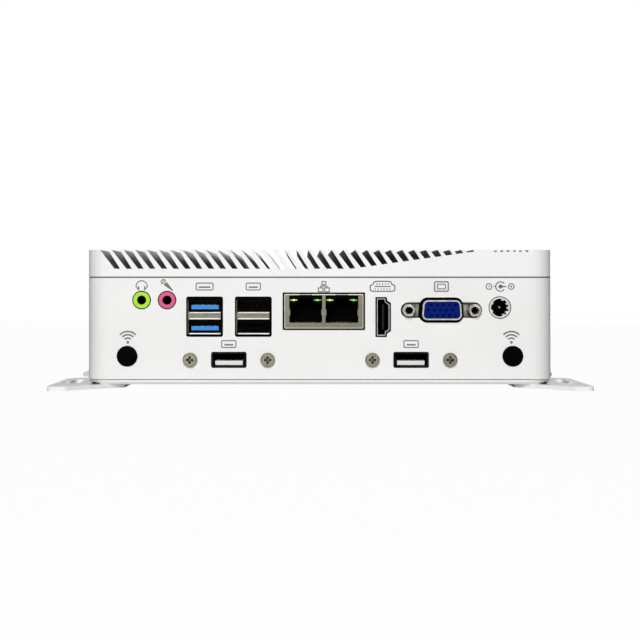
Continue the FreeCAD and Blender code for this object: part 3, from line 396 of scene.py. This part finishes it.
def panel_screws():
    """Flat pan-head screws with cross recesses in place of the lower sockets' plain screws."""
    head, shank = 1.5 * MM, 1.45 * MM
    mesh = bmesh.new()
    for low, high in boxes_of("lower_usb_screws"):
        middle = (low + high) / 2
        radius = (high.x - low.x) / 2
        outer = cross_recess(mesh, middle, radius - 0.35 * MM, 0.44 * MM, low.y, 1.3 * MM)
        rows = [outer]
        for reach, y in (
            (radius - 0.12 * MM, low.y + 0.12 * MM), (radius, low.y + 0.4 * MM),
            (radius, low.y + head), (shank, low.y + head), (shank, high.y),
        ):
            row = []
            for vert in outer:
                out = Vector((vert.co.x - middle.x, 0, vert.co.z - middle.z)).normalized() * reach
                row.append(mesh.verts.new((middle.x + out.x, y, middle.z + out.z)))
            rows.append(row)
        join_rows(mesh, rows)
        mesh.faces.new(rows[-1])
    add_piece("panel_screw_heads", mesh, SCREW, "case", "screw_steel", "lower_usb_screws")


def jackscrews():
    """Hexagonal jackscrews with turned chamfers and threaded bores."""
    sides, threads, pitch = 36, 7, 0.5 * MM
    root, crest, shank = 1.42 * MM, 1.26 * MM, 1.45 * MM
    mesh = bmesh.new()
    for low, high in boxes_of("video_jackscrews"):
        middle = (low + high) / 2
        tip, shoulder = low.y, low.y + 5.0 * MM
        flat = (high.z - low.z) / 2
        hexagons = []
        for reach, y, hexed in ((0.93, tip, False), (1.1, tip + 0.35 * MM, True), (1.1547, shoulder, True)):
            row = []
            for i in range(sides):
                a = 2 * math.pi * i / sides
                limit = flat / math.cos(a % (math.pi / 3) - math.pi / 6)
                radius = min(flat * reach, limit) if hexed else flat * reach
                x, z = radius * math.cos(a), radius * math.sin(a)
                row.append(mesh.verts.new((middle.x + x, y, middle.z + z)))
            hexagons.append(row)
        mouth = tip + 0.25 * MM
        bore = [(1.62 * MM, tip), (root, mouth)]
        for k in range(threads):
            bore.append((root, mouth + k * pitch + 0.15 * MM))
            bore.append((crest, mouth + k * pitch + 0.35 * MM))
        bore.append((0.05 * MM, tip + 4.2 * MM))
        rows = [
            [mesh.verts.new((x, y, z)) for x, z in circle(middle.x, middle.z, radius, sides)]
            for radius, y in bore
        ]
        rows = rows[::-1] + hexagons
        join_rows(mesh, rows)
        mesh.faces.new(rows[-1])
        mesh.faces.new(rows[0])
        stem = [(shank, 0), (shank, high.y - shoulder)]
        turned(mesh, Vector((middle.x, shoulder, middle.z)), (0, 1, 0), stem, 16)
    add_piece("threaded_jackscrews", mesh, JACK, "case", "screw_steel", "video_jackscrews")


def hole_plugs():
    """Plugs with a softly domed head in place of the plain ones."""
    head, stem = 0.9 * MM, 3.05 * MM
    mesh = bmesh.new()
    for low, high in boxes_of("antenna_hole_plugs"):
        middle = Vector(((low.x + high.x) / 2, low.y, (low.z + high.z) / 2))
        radius = (high.x - low.x) / 2
        profile = [
            (0.02 * MM, 0), (radius * 0.6, 0.03 * MM), (radius * 0.88, 0.12 * MM),
            (radius * 0.97, 0.3 * MM), (radius, 0.5 * MM), (radius, head), (stem, head), (stem, 4.6 * MM),
            (2.8 * MM, high.y - low.y), (0.02 * MM, high.y - low.y),
        ]
        turned(mesh, middle, (0, 1, 0), profile, 48)
    add_piece("domed_hole_plugs", mesh, BLACK, "case", "black_plastic", "antenna_hole_plugs")


def rod_along_x(mesh, start, end, y, z, radius):
    tip, ease = radius * 0.7, radius * 0.5
    profile = [(tip, 0), (radius, ease), (radius, end - start - ease), (tip, end - start)]
    turned(mesh, Vector((start, y, z)), (1, 0, 0), profile, 12)


def stack_bounds(shell):
    """A stacked socket's bounds, and the height halfway between its two tongues."""
    low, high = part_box(shell)
    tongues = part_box(shell.replace("shell", "tongues"))
    return low, high, (tongues[0][2] + tongues[1][2]) / 2


def socket_lips():
    """Rolled edges on the stacked sockets, and tabs on the network socket: rounded to catch the light, with
    a painted highlight in their near-white colour.
    """
    mesh = bmesh.new()
    for shell in STACKS:
        low, high, middle = stack_bounds(shell)
        middle += 0.8 * MM
        for z in (middle + 1.12 * MM, middle - 1.12 * MM, low[2] + 0.25 * MM):
            rod_along_x(mesh, low[0] + 0.8 * MM, high[0] - 0.5 * MM, FACE_Y + 0.1 * MM, z, 0.27 * MM)
    low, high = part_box("lan_shell")
    centre_x = (low[0] + high[0]) / 2
    inner, outer = 4.5 * MM, 9.3 * MM
    for start, end in (
        (low[0] + 0.3 * MM, centre_x - outer), (centre_x - inner, centre_x + inner),
        (centre_x + outer, high[0] - 0.3 * MM),
    ):
        rod_along_x(mesh, start, end, FACE_Y + 0.08 * MM, high[2] - 0.3 * MM, 0.2 * MM)
    add_piece("rolled_socket_lips", mesh, HIGHLIGHT_PLATE, "case", "shell_metal")


def tube_loop(mesh, points, y, radius, sides=8):
    """A thin closed tube through (x, z) points at a depth y."""
    points = [Vector(p) for p in points]
    count = len(points)
    rings = []
    for i, point in enumerate(points):
        before = (point - points[i - 1]).normalized()
        after = (points[(i + 1) % count] - point).normalized()
        along = (before + after).normalized()
        side = Vector((-along.y, along.x))
        stretch = 1 / max(0.5, side.dot(Vector((-before.y, before.x))))
        ring = []
        for k in range(sides):
            a = 2 * math.pi * k / sides
            spot = point + side * (radius * math.cos(a) * stretch)
            ring.append(mesh.verts.new((spot.x, y + radius * math.sin(a), spot.y)))
        rings.append(ring)
    join_rows(mesh, rings + rings[:1])


def ring_plate(mesh, outer, inner, front, back):
    """A flat ring between two (x, z) outlines of equal length."""
    rows = [
        [mesh.verts.new((x, y, z)) for x, z in line]
        for line, y in ((outer, front), (inner, front), (inner, back), (outer, back))
    ]
    join_rows(mesh, rows + rows[:1])


def soft_rectangle(x0, x1, z0, z1, corner, steps=4):
    """The (x, z) outline of a rectangle with rounded corners."""
    points = []
    for x, z, start in ((x1 - corner, z0 + corner, 270), (x1 - corner, z1 - corner, 0),
                        (x0 + corner, z1 - corner, 90), (x0 + corner, z0 + corner, 180)):
        for step in range(steps + 1):
            turn = math.radians(start + 90 * step / steps)
            points.append((x + corner * math.cos(turn), z + corner * math.sin(turn)))
    return points


def front_outline(node):
    """The outer outline of a node's foremost face, as (x, z) points running anticlockwise."""
    mesh = bmesh.new()
    mesh.from_mesh(NODES[node].data)
    bmesh.ops.remove_doubles(mesh, verts=mesh.verts, dist=1e-6)
    mesh.normal_update()
    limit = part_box(node)[0][1] + 0.05 * MM
    front = {f for f in mesh.faces if f.normal.y < -0.99 and f.calc_center_median().y < limit}
    steps = {}
    for face in mesh.faces:
        if face not in front:
            continue
        for corner in face.loops:
            if sum(other in front for other in corner.edge.link_faces) == 1:
                steps[corner.vert] = corner.link_loop_next.vert
    outlines = []
    while steps:
        start, after = steps.popitem()
        chain = [start]
        while after is not start:
            chain.append(after)
            after = steps.pop(after)
        outlines.append([(v.co.x, v.co.z) for v in chain])
    mesh.free()
    outer = max(outlines, key=lambda line: max(x for x, z in line) - min(x for x, z in line))
    turn = sum(outer[i - 1][0] * outer[i][1] - outer[i][0] * outer[i - 1][1] for i in range(len(outer)))
    return outer if turn > 0 else outer[::-1]


def drawn_in(points, amount):
    """The outline, which runs anticlockwise, moved inwards by an even amount."""
    points = [Vector(p) for p in points]
    result = []
    for i, point in enumerate(points):
        before = (point - points[i - 1]).normalized()
        after = (points[(i + 1) % len(points)] - point).normalized()
        side = (Vector((-before.y, before.x)) + Vector((-after.y, after.x))).normalized()
        stretch = 1 / max(0.6, side.dot(Vector((-before.y, before.x))))
        result.append(tuple(point + side * amount * stretch))
    return result


def port_shade_fills():
    """Black fills in the gaps round the sockets, and strips under the stacked sockets' bars: painted shade
    where those gaps and bars are in shadow.
    """
    mesh = bmesh.new()
    front, back = FACE_Y - 0.04 * MM, FACE_Y + 0.45 * MM

    def fill_gap(outline, outside, inside, near=front, far=back):
        ring_plate(mesh, drawn_in(outline, -outside), drawn_in(outline, inside), near, far)

    for shell in STACKS:
        low, high, middle = stack_bounds(shell)
        middle += 0.675 * MM
        outer = soft_rectangle(low[0] - 0.4 * MM, high[0] + 0.4 * MM,
                               middle - 7.9 * MM, middle + 7.4 * MM, 0.8 * MM)
        inner = soft_rectangle(low[0] + 0.15 * MM, high[0] - 0.5 * MM,
                               middle - 7.1 * MM, middle + 6.4 * MM, 0.4 * MM)
        ring_plate(mesh, outer, inner, front, back)
        sill = middle - 1.35 * MM
        slab(mesh, (low[0] + 0.8 * MM, FACE_Y - 0.03 * MM, sill - 0.85 * MM),
             (high[0] - 0.6 * MM, back, sill))
    low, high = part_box("lan_shell")
    fill_gap(soft_rectangle(low[0], high[0], low[2], high[2], 0.35 * MM), 0.5 * MM, 0.1 * MM)
    for low, high in boxes_of("lower_usb_shells"):
        fill_gap(soft_rectangle(low.x, high.x, low.z, high.z, 0.4 * MM), 0.35 * MM, 0.05 * MM)
    for node, outer, inner in (
        ("audio_out_collar", 3.55, 3.16), ("microphone_collar", 3.55, 3.16),
        ("power_inlet_ring", 4.28, 3.96),
    ):
        spot = centre(node)
        outer, inner = [circle(spot.x, spot.z, radius * MM) for radius in (outer, inner)]
        ring_plate(mesh, outer, inner, front, back)
    fill_gap(front_outline("digital_video_shell"), 0.5 * MM, 0.04 * MM)
    fill_gap(front_outline("analogue_video_shell"), 1.08 * MM, 0.02 * MM,
             FACE_Y + 1.1 * MM, FACE_Y + 1.9 * MM)
    add_piece("port_gap_shade_fills", mesh, BLACK, "case", "black_plastic")


def seam_shade_strip():
    """A grey strip in the groove between the frame and the finned cover: painted shade standing in for the
    groove's shadow.
    """
    low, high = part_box("chassis_frame")
    base, top = high[2] - 0.53 * MM, high[2] - 0.02 * MM
    outer, inner = [
        soft_rectangle(low[0] + inset, high[0] - inset, low[1] + inset, high[1] - inset,
                       CASE_CORNER - inset, 12)
        for inset in (0.15 * MM, 0.95 * MM)
    ]
    mesh = bmesh.new()
    rows = [
        [mesh.verts.new((x, y, z)) for x, y in line]
        for line, z in ((outer, base), (outer, top), (inner, top), (inner, base))
    ]
    join_rows(mesh, rows + rows[:1])
    add_piece("cover_seam_strip", mesh, SEAM_SHADE, "case", "black_plastic")


def painted_highlight_rims():
    """Rounded rims on the video sockets, the power inlet and the network socket: rounded to catch the light,
    with a painted highlight in their near-white colour.
    """
    mesh = bmesh.new()
    tube_loop(mesh, drawn_in(front_outline("digital_video_shell"), 0.22 * MM), FACE_Y + 0.05 * MM, 0.13 * MM)
    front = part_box("analogue_video_shell")[0][1]
    tube_loop(mesh, drawn_in(front_outline("analogue_video_shell"), 0.28 * MM), front + 0.26 * MM, 0.29 * MM)
    spot = centre("power_inlet_ring")
    tube_loop(mesh, circle(spot.x, spot.z, 3.66 * MM, 48), FACE_Y + 0.27 * MM, 0.26 * MM)
    low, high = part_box("lan_shell")
    inset = 0.3 * MM
    outline = soft_rectangle(low[0] + inset, high[0] - inset, low[2] + inset, high[2] - inset, inset)
    tube_loop(mesh, outline, FACE_Y + 0.08 * MM, 0.12 * MM)
    add_piece("rounded_rims", mesh, HIGHLIGHT_PLATE, "case", "shell_metal")


def lamp_windows():
    """Light guides with tapered ends in place of the network socket's plain ones."""
    lower_half = [(-1, -0.15), (-0.35, -0.45), (0, -1), (0.35, -0.45), (1, -0.15)]
    outline = lower_half + [(-u, -v) for u, v in lower_half]
    for node, name, material, slot in (
        ("lan_link_lamps", "link_lamp_guides", YELLOW_LENS, "yellow_lens"),
        ("lan_speed_lamps", "speed_lamp_guides", GREEN_LENS, "green_lens"),
    ):
        mesh = bmesh.new()
        for low, high in boxes_of(node):
            w, h = (high.x - low.x) / 2, (high.z - low.z) / 2
            x, z = (low.x + high.x) / 2, (low.z + high.z) / 2
            rows = [
                [mesh.verts.new((x + u * w, y, z + v * h)) for u, v in outline]
                for y in (low.y, high.y)
            ]
            mesh.faces.new(rows[0])
            mesh.faces.new(rows[1])
            join_rows(mesh, rows)
        add_piece(name, mesh, material, "case", slot, node)


def socket_contacts():
    """Gold contact strips in the USB and network sockets."""
    mesh = bmesh.new()
    for node, setback, proud in (
        ("usb_three_tongues", 1.8, 0.08), ("usb_two_tongues", 5.0, 0.03), ("lower_usb_tongues", 5.0, 0.04),
    ):
        for low, high in boxes_of(node):
            step = (high.x - low.x) / 4.4
            for i in range(4):
                x = low.x + step * (i + 0.7)
                slab(mesh, (x - 0.5 * MM, low.y + setback * MM, high.z - 0.02 * MM),
                     (x + 0.5 * MM, high.y - 0.5 * MM, high.z + proud * MM))
    low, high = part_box("lan_shell")
    centre_x = (low[0] + high[0]) / 2
    port_offset, pitch = 6.875 * MM, 1.02 * MM
    for side in (-1, 1):
        for i in range(8):
            x = centre_x + side * port_offset + (i - 3.5) * pitch
            z = low[2] + 2.2 * MM
            slab(mesh, (x - 0.16 * MM, low[1] + 9.5 * MM, z),
                 (x + 0.16 * MM, low[1] + 12 * MM, z + 0.2 * MM))
    add_piece("socket_contacts", mesh, GOLD, "case", "pin_brass")


def inlet_springs():
    """Short leaf contacts on the power inlet's inner wall, with a painted highlight in their near-white
    colour.
    """
    low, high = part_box("power_inlet_ring")
    middle = front_middle("power_inlet_ring")
    inside = (high[0] - low[0]) / 2 - 0.56 * MM
    thickness = 0.12 * MM
    mesh = bmesh.new()
    for turn in (28, -2, -34, -62, 70, 150, 205):
        out = Vector((math.cos(math.radians(turn)), 0, math.sin(math.radians(turn))))
        along = Vector((-out.z, 0, out.x))
        inner = []
        for bend, half, y in ((0, 0.5, 0.3), (0.55, 0.42, 0.7), (0.6, 0.36, 3.0), (0, 0.3, 5.0)):
            point = middle + out * (inside - bend * MM) + Vector((0, y * MM, 0))
            inner.append([mesh.verts.new(point + along * end * half * MM) for end in (-1, 1)])
        outer = [[mesh.verts.new(vert.co + out * thickness) for vert in pair] for pair in inner]
        rows = [(*a, *reversed(b)) for a, b in zip(inner, outer)]
        join_rows(mesh, rows)
        mesh.faces.new(rows[0])
        mesh.faces.new(rows[-1])
    add_piece("inlet_leaf_contacts", mesh, HIGHLIGHT_PLATE, "case", "shell_metal")


def centre_pin():
    """The power inlet's pin with a rounded, narrowing tip in place of the plain rod."""
    low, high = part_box("power_inlet_pin")
    radius = (high[0] - low[0]) / 2
    profile = [
        (0.05 * MM, 0), (radius * 0.45, 0.1 * MM), (radius * 0.66, 0.4 * MM),
        (radius * 0.72, 1.6 * MM), (radius, 2.4 * MM), (radius, high[1] - low[1]),
    ]
    mesh = bmesh.new()
    turned(mesh, front_middle("power_inlet_pin"), (0, 1, 0), profile, 24)
    add_piece("rounded_centre_pin", mesh, GOLD, "case", "pin_brass", "power_inlet_pin")


# ---- printed pictograms: thin ink shapes on the port wall
INK_HIGH = 0.03 * MM
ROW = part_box("chassis_frame")[1][2] - 3.8 * MM  # the height of the upper pictograms
LOWER_SOCKET_HALF = 6.4 * MM


class Print:
    """Flat ink shapes in millimetres about a centre on the port wall."""

    def __init__(self, name, x, z):
        self.name, self.x, self.z = name, x, z
        self.mesh = bmesh.new()

    def sheet(self, outline):
        """A flat inked area, open where it lies in the wall."""
        front, back = [
            [self.mesh.verts.new((self.x + u * MM, y, self.z + v * MM)) for u, v in outline]
            for y in (FACE_Y - INK_HIGH, FACE_Y + INK_HIGH)
        ]
        self.mesh.faces.new(front)
        join_rows(self.mesh, [front, back])

    def stroke(self, points, width, closed=False):
        """A line of even width along the points, with mitred joints."""
        points = [Vector(p) for p in points]
        count = len(points)
        left, right = [], []
        for i, point in enumerate(points):
            before = points[i - 1] if closed or i else None
            after = points[(i + 1) % count] if closed or i < count - 1 else None
            runs = [(point - before).normalized()] if before is not None else []
            runs += [(after - point).normalized()] if after is not None else []
            along = sum(runs, Vector((0, 0))).normalized()
            side = Vector((-along.y, along.x))
            reach = width / 2 / max(0.4, abs(side.dot(Vector((-runs[0].y, runs[0].x)))))
            left.append(point + side * reach)
            right.append(point - side * reach)
        last = count if closed else count - 1
        for i in range(last):
            j = (i + 1) % count
            self.sheet([right[i], right[j], left[j], left[i]])

    def arc(self, middle, radius, start, end, width, steps=20):
        turns = [math.radians(start + (end - start) * i / steps) for i in range(steps + 1)]
        points = [(middle[0] + radius * math.cos(a), middle[1] + radius * math.sin(a)) for a in turns]
        self.stroke(points, width)

    def disc(self, middle, radius, steps=20):
        self.sheet(circle(*middle, radius, steps))

    def frame(self, middle, wide, high, width, corner=0.0):
        w, h, c = wide / 2, high / 2, corner
        loop = []
        for a, b, start in ((1, 1, 0), (-1, 1, 90), (-1, -1, 180), (1, -1, 270)):
            for step in range(5 if c else 1):  # one point at a sharp corner
                turn = math.radians(start + 22.5 * step)
                x, z = a * (w - c) + c * math.cos(turn), b * (h - c) + c * math.sin(turn)
                loop.append((middle[0] + x, middle[1] + z))
        self.stroke(loop, width, closed=True)

    def done(self):
        add_piece(self.name, self.mesh, INK, "case", "case_coat", weld=False)


def print_pictograms():
    p = Print("print_headphones", centre("audio_out_collar").x, ROW + 0.45 * MM)
    p.arc((0, -0.35), 2.1, -12, 192, 0.42)
    for side in (-1, 1):
        p.stroke([(side * 1.18, -0.35), (side * 1.18, -1.85)], 0.55)
        p.stroke([(side * 1.93, -0.75), (side * 1.45, -1.45)], 0.35)
    p.done()

    p = Print("print_microphone", centre("microphone_collar").x, ROW + 0.45 * MM)
    p.arc((-1.35, 1.35), 0.95, 30, 240, 0.3)
    p.arc((-1.35, 1.35), 0.5, 30, 240, 0.28)
    p.stroke([(-1.85, 0.5), (-0.55, 1.75)], 0.32)
    p.sheet([(-1.4, 0.25), (-0.2, 1.35), (2.3, -1.8), (1.95, -2.15)])
    p.done()

    low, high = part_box("lower_usb_shells")
    above = high[2] + 3.3 * MM
    for name, x, z, wide in (
        ("print_stack_left", centre("usb_three_shell").x, ROW, 6.4),
        ("print_stack_right", centre("usb_two_shell").x, ROW, 5.4),
        ("print_socket_left", low[0] + LOWER_SOCKET_HALF, above, 5.4),
        ("print_socket_right", high[0] - LOWER_SOCKET_HALF, above, 5.4),
    ):
        p = Print(name, x, z)
        p.frame((0, 0), wide, 2.6, 0.42, 0.4)
        p.stroke([(-wide / 2 + 1.0, -0.25), (wide / 2 - 1.0, -0.25)], 0.62)
        p.done()

    p = Print("print_network", centre("lan_shell").x, ROW)
    p.frame((0, 1.3), 1.45, 1.2, 0.4)
    for side in (-1, 1):
        p.frame((side * 1.2, -1.25), 1.75, 1.45, 0.42)
        p.stroke([(side * 1.2, -0.5), (side * 1.2, 0.25)], 0.4)
    p.stroke([(-1.4, 0.15), (1.4, 0.15)], 0.4)
    p.stroke([(0, 0.15), (0, 0.7)], 0.4)
    p.done()

    p = Print("print_digital_video", centre("digital_video_shell").x - 0.25 * MM, ROW)
    half = [(3.7, -1.8), (4.55, -1.55), (4.7, -0.6), (4.6, 0.35), (3.55, 0.85), (3.15, 1.75), (2.3, 1.95)]
    p.stroke(half + [(-u, v) for u, v in reversed(half)], 0.48, closed=True)
    p.stroke([(-3.1, 0.0), (3.1, 0.0)], 0.46)
    for i in range(5):
        p.disc((-2.2 + 1.1 * i, 0.95), 0.27, 10)
    for i in range(6):
        p.disc((-2.75 + 1.1 * i, -0.95), 0.27, 10)
    p.done()

    p = Print("print_monitor", centre("analogue_video_shell").x, ROW)
    p.frame((0, 0), 5.2, 3.55, 0.5, 0.45)
    p.frame((0, 0), 3.05, 1.8, 0.42, 0.2)
    p.done()

    p = Print("print_polarity", centre("power_inlet_ring").x + 0.2 * MM, ROW)
    p.frame((-4.35, 0), 2.15, 2.15, 0.4, 1.07)
    p.stroke([(-4.75, 0), (-3.95, 0)], 0.38)
    p.stroke([(-2.6, 0), (-1.8, 0)], 0.4)
    p.arc((0, 0), 1.78, 38, 322, 0.45, 30)
    p.disc((0, 0), 0.8)
    p.stroke([(0, 0), (2.2, 0)], 0.48)
    p.frame((4.1, 0), 2.15, 2.15, 0.4, 1.07)
    p.stroke([(3.7, 0), (4.5, 0)], 0.36)
    p.stroke([(4.1, -0.4), (4.1, 0.4)], 0.36)
    p.done()

    low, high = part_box("antenna_hole_plugs")
    for name, x in (("print_radio_left", low[0] + 4.2 * MM), ("print_radio_right", high[0] - 4.5 * MM)):
        p = Print(name, x, high[2] + 1.35 * MM)
        p.disc((0, 0), 0.55)
        for radius in (1.6, 2.85, 4.1):
            p.arc((0, 0), radius, 43, 137, 0.62, 16)
        p.done()


# ---- stage: pale floor, white surround and soft light from the camera's side and from behind
FLOOR_SIZE = 1.6
FLOOR_TONE, FLOOR_GLOW = 0.8, 0.97  # the light it reflects, and the share of white that the camera sees
SURROUND_LIGHT = 0.05


def add_stage():
    mesh = bpy.data.meshes.new("floor")
    corners = [(x * FLOOR_SIZE, y * FLOOR_SIZE, 0) for x, y in ((-1, -1), (1, -1), (1, 1), (-1, 1))]
    mesh.from_pydata(corners, [], [(0, 1, 2, 3)])
    floor = bpy.data.objects.new("floor", mesh)
    floor.location.z = -0.2 * MM
    bpy.context.scene.collection.objects.link(floor)
    material = bpy.data.materials.new("floor_white")
    material.use_nodes = True
    nodes, links = material.node_tree.nodes, material.node_tree.links
    nodes.clear()
    out = nodes.new("ShaderNodeOutputMaterial")
    blend = nodes.new("ShaderNodeMixShader")
    matt = nodes.new("ShaderNodeBsdfDiffuse")
    matt.inputs["Color"].default_value = (FLOOR_TONE, FLOOR_TONE, FLOOR_TONE, 1)
    glow = nodes.new("ShaderNodeEmission")
    glow.inputs["Strength"].default_value = 1.0
    path = nodes.new("ShaderNodeLightPath")
    part = nodes.new("ShaderNodeMath")
    part.operation = "MULTIPLY"
    part.inputs[1].default_value = FLOOR_GLOW
    links.new(path.outputs["Is Camera Ray"], part.inputs[0])
    links.new(part.outputs[0], blend.inputs[0])
    links.new(matt.outputs[0], blend.inputs[1])
    links.new(glow.outputs[0], blend.inputs[2])
    links.new(blend.outputs[0], out.inputs[0])
    mesh.materials.append(material)


def add_world():
    world = bpy.data.worlds.new("studio")
    world.use_nodes = True
    nodes, links = world.node_tree.nodes, world.node_tree.links
    nodes.clear()
    out = nodes.new("ShaderNodeOutputWorld")
    dim = nodes.new("ShaderNodeBackground")
    dim.inputs["Color"].default_value = (1, 1, 1, 1)
    dim.inputs["Strength"].default_value = SURROUND_LIGHT
    white = nodes.new("ShaderNodeBackground")
    white.inputs["Strength"].default_value = 1.0
    white.inputs["Color"].default_value = (1, 1, 1, 1)
    path = nodes.new("ShaderNodeLightPath")
    mix = nodes.new("ShaderNodeMixShader")
    links.new(path.outputs["Is Camera Ray"], mix.inputs[0])
    links.new(dim.outputs[0], mix.inputs[1])
    links.new(white.outputs[0], mix.inputs[2])
    links.new(mix.outputs[0], out.inputs[0])
    bpy.context.scene.world = world


def add_light(name, place, target, size, power):
    data = bpy.data.lights.new(name, "AREA")
    data.shape = "RECTANGLE"
    data.size, data.size_y = size
    data.energy = power
    light = bpy.data.objects.new(name, data)
    light.location = place
    light.rotation_euler = (Vector(target) - Vector(place)).to_track_quat("-Z", "Y").to_euler()
    bpy.context.scene.collection.objects.link(light)
    return light


bpy.context.scene.view_settings.view_transform = "Standard"
add_camera()
dress_nodes()
print_pictograms()
panel_screws()
jackscrews()
hole_plugs()
socket_lips()
socket_contacts()
inlet_springs()
centre_pin()
port_shade_fills()
seam_shade_strip()
painted_highlight_rims()
lamp_windows()
add_stage()
add_world()
add_light("front_softbox", (-0.14, -1.35, 0.56), (0, 0, 0.03), (0.45, 0.5), 10.9)
add_light("front_fill", (-0.1, -1.35, 0.12), (0, 0, 0.02), (0.3, 0.12), 4.8).visible_glossy = False
add_light("back_softbox", (0.2, 1.45, 0.12), (0, 0, 0.03), (1.5, 0.2), 11)
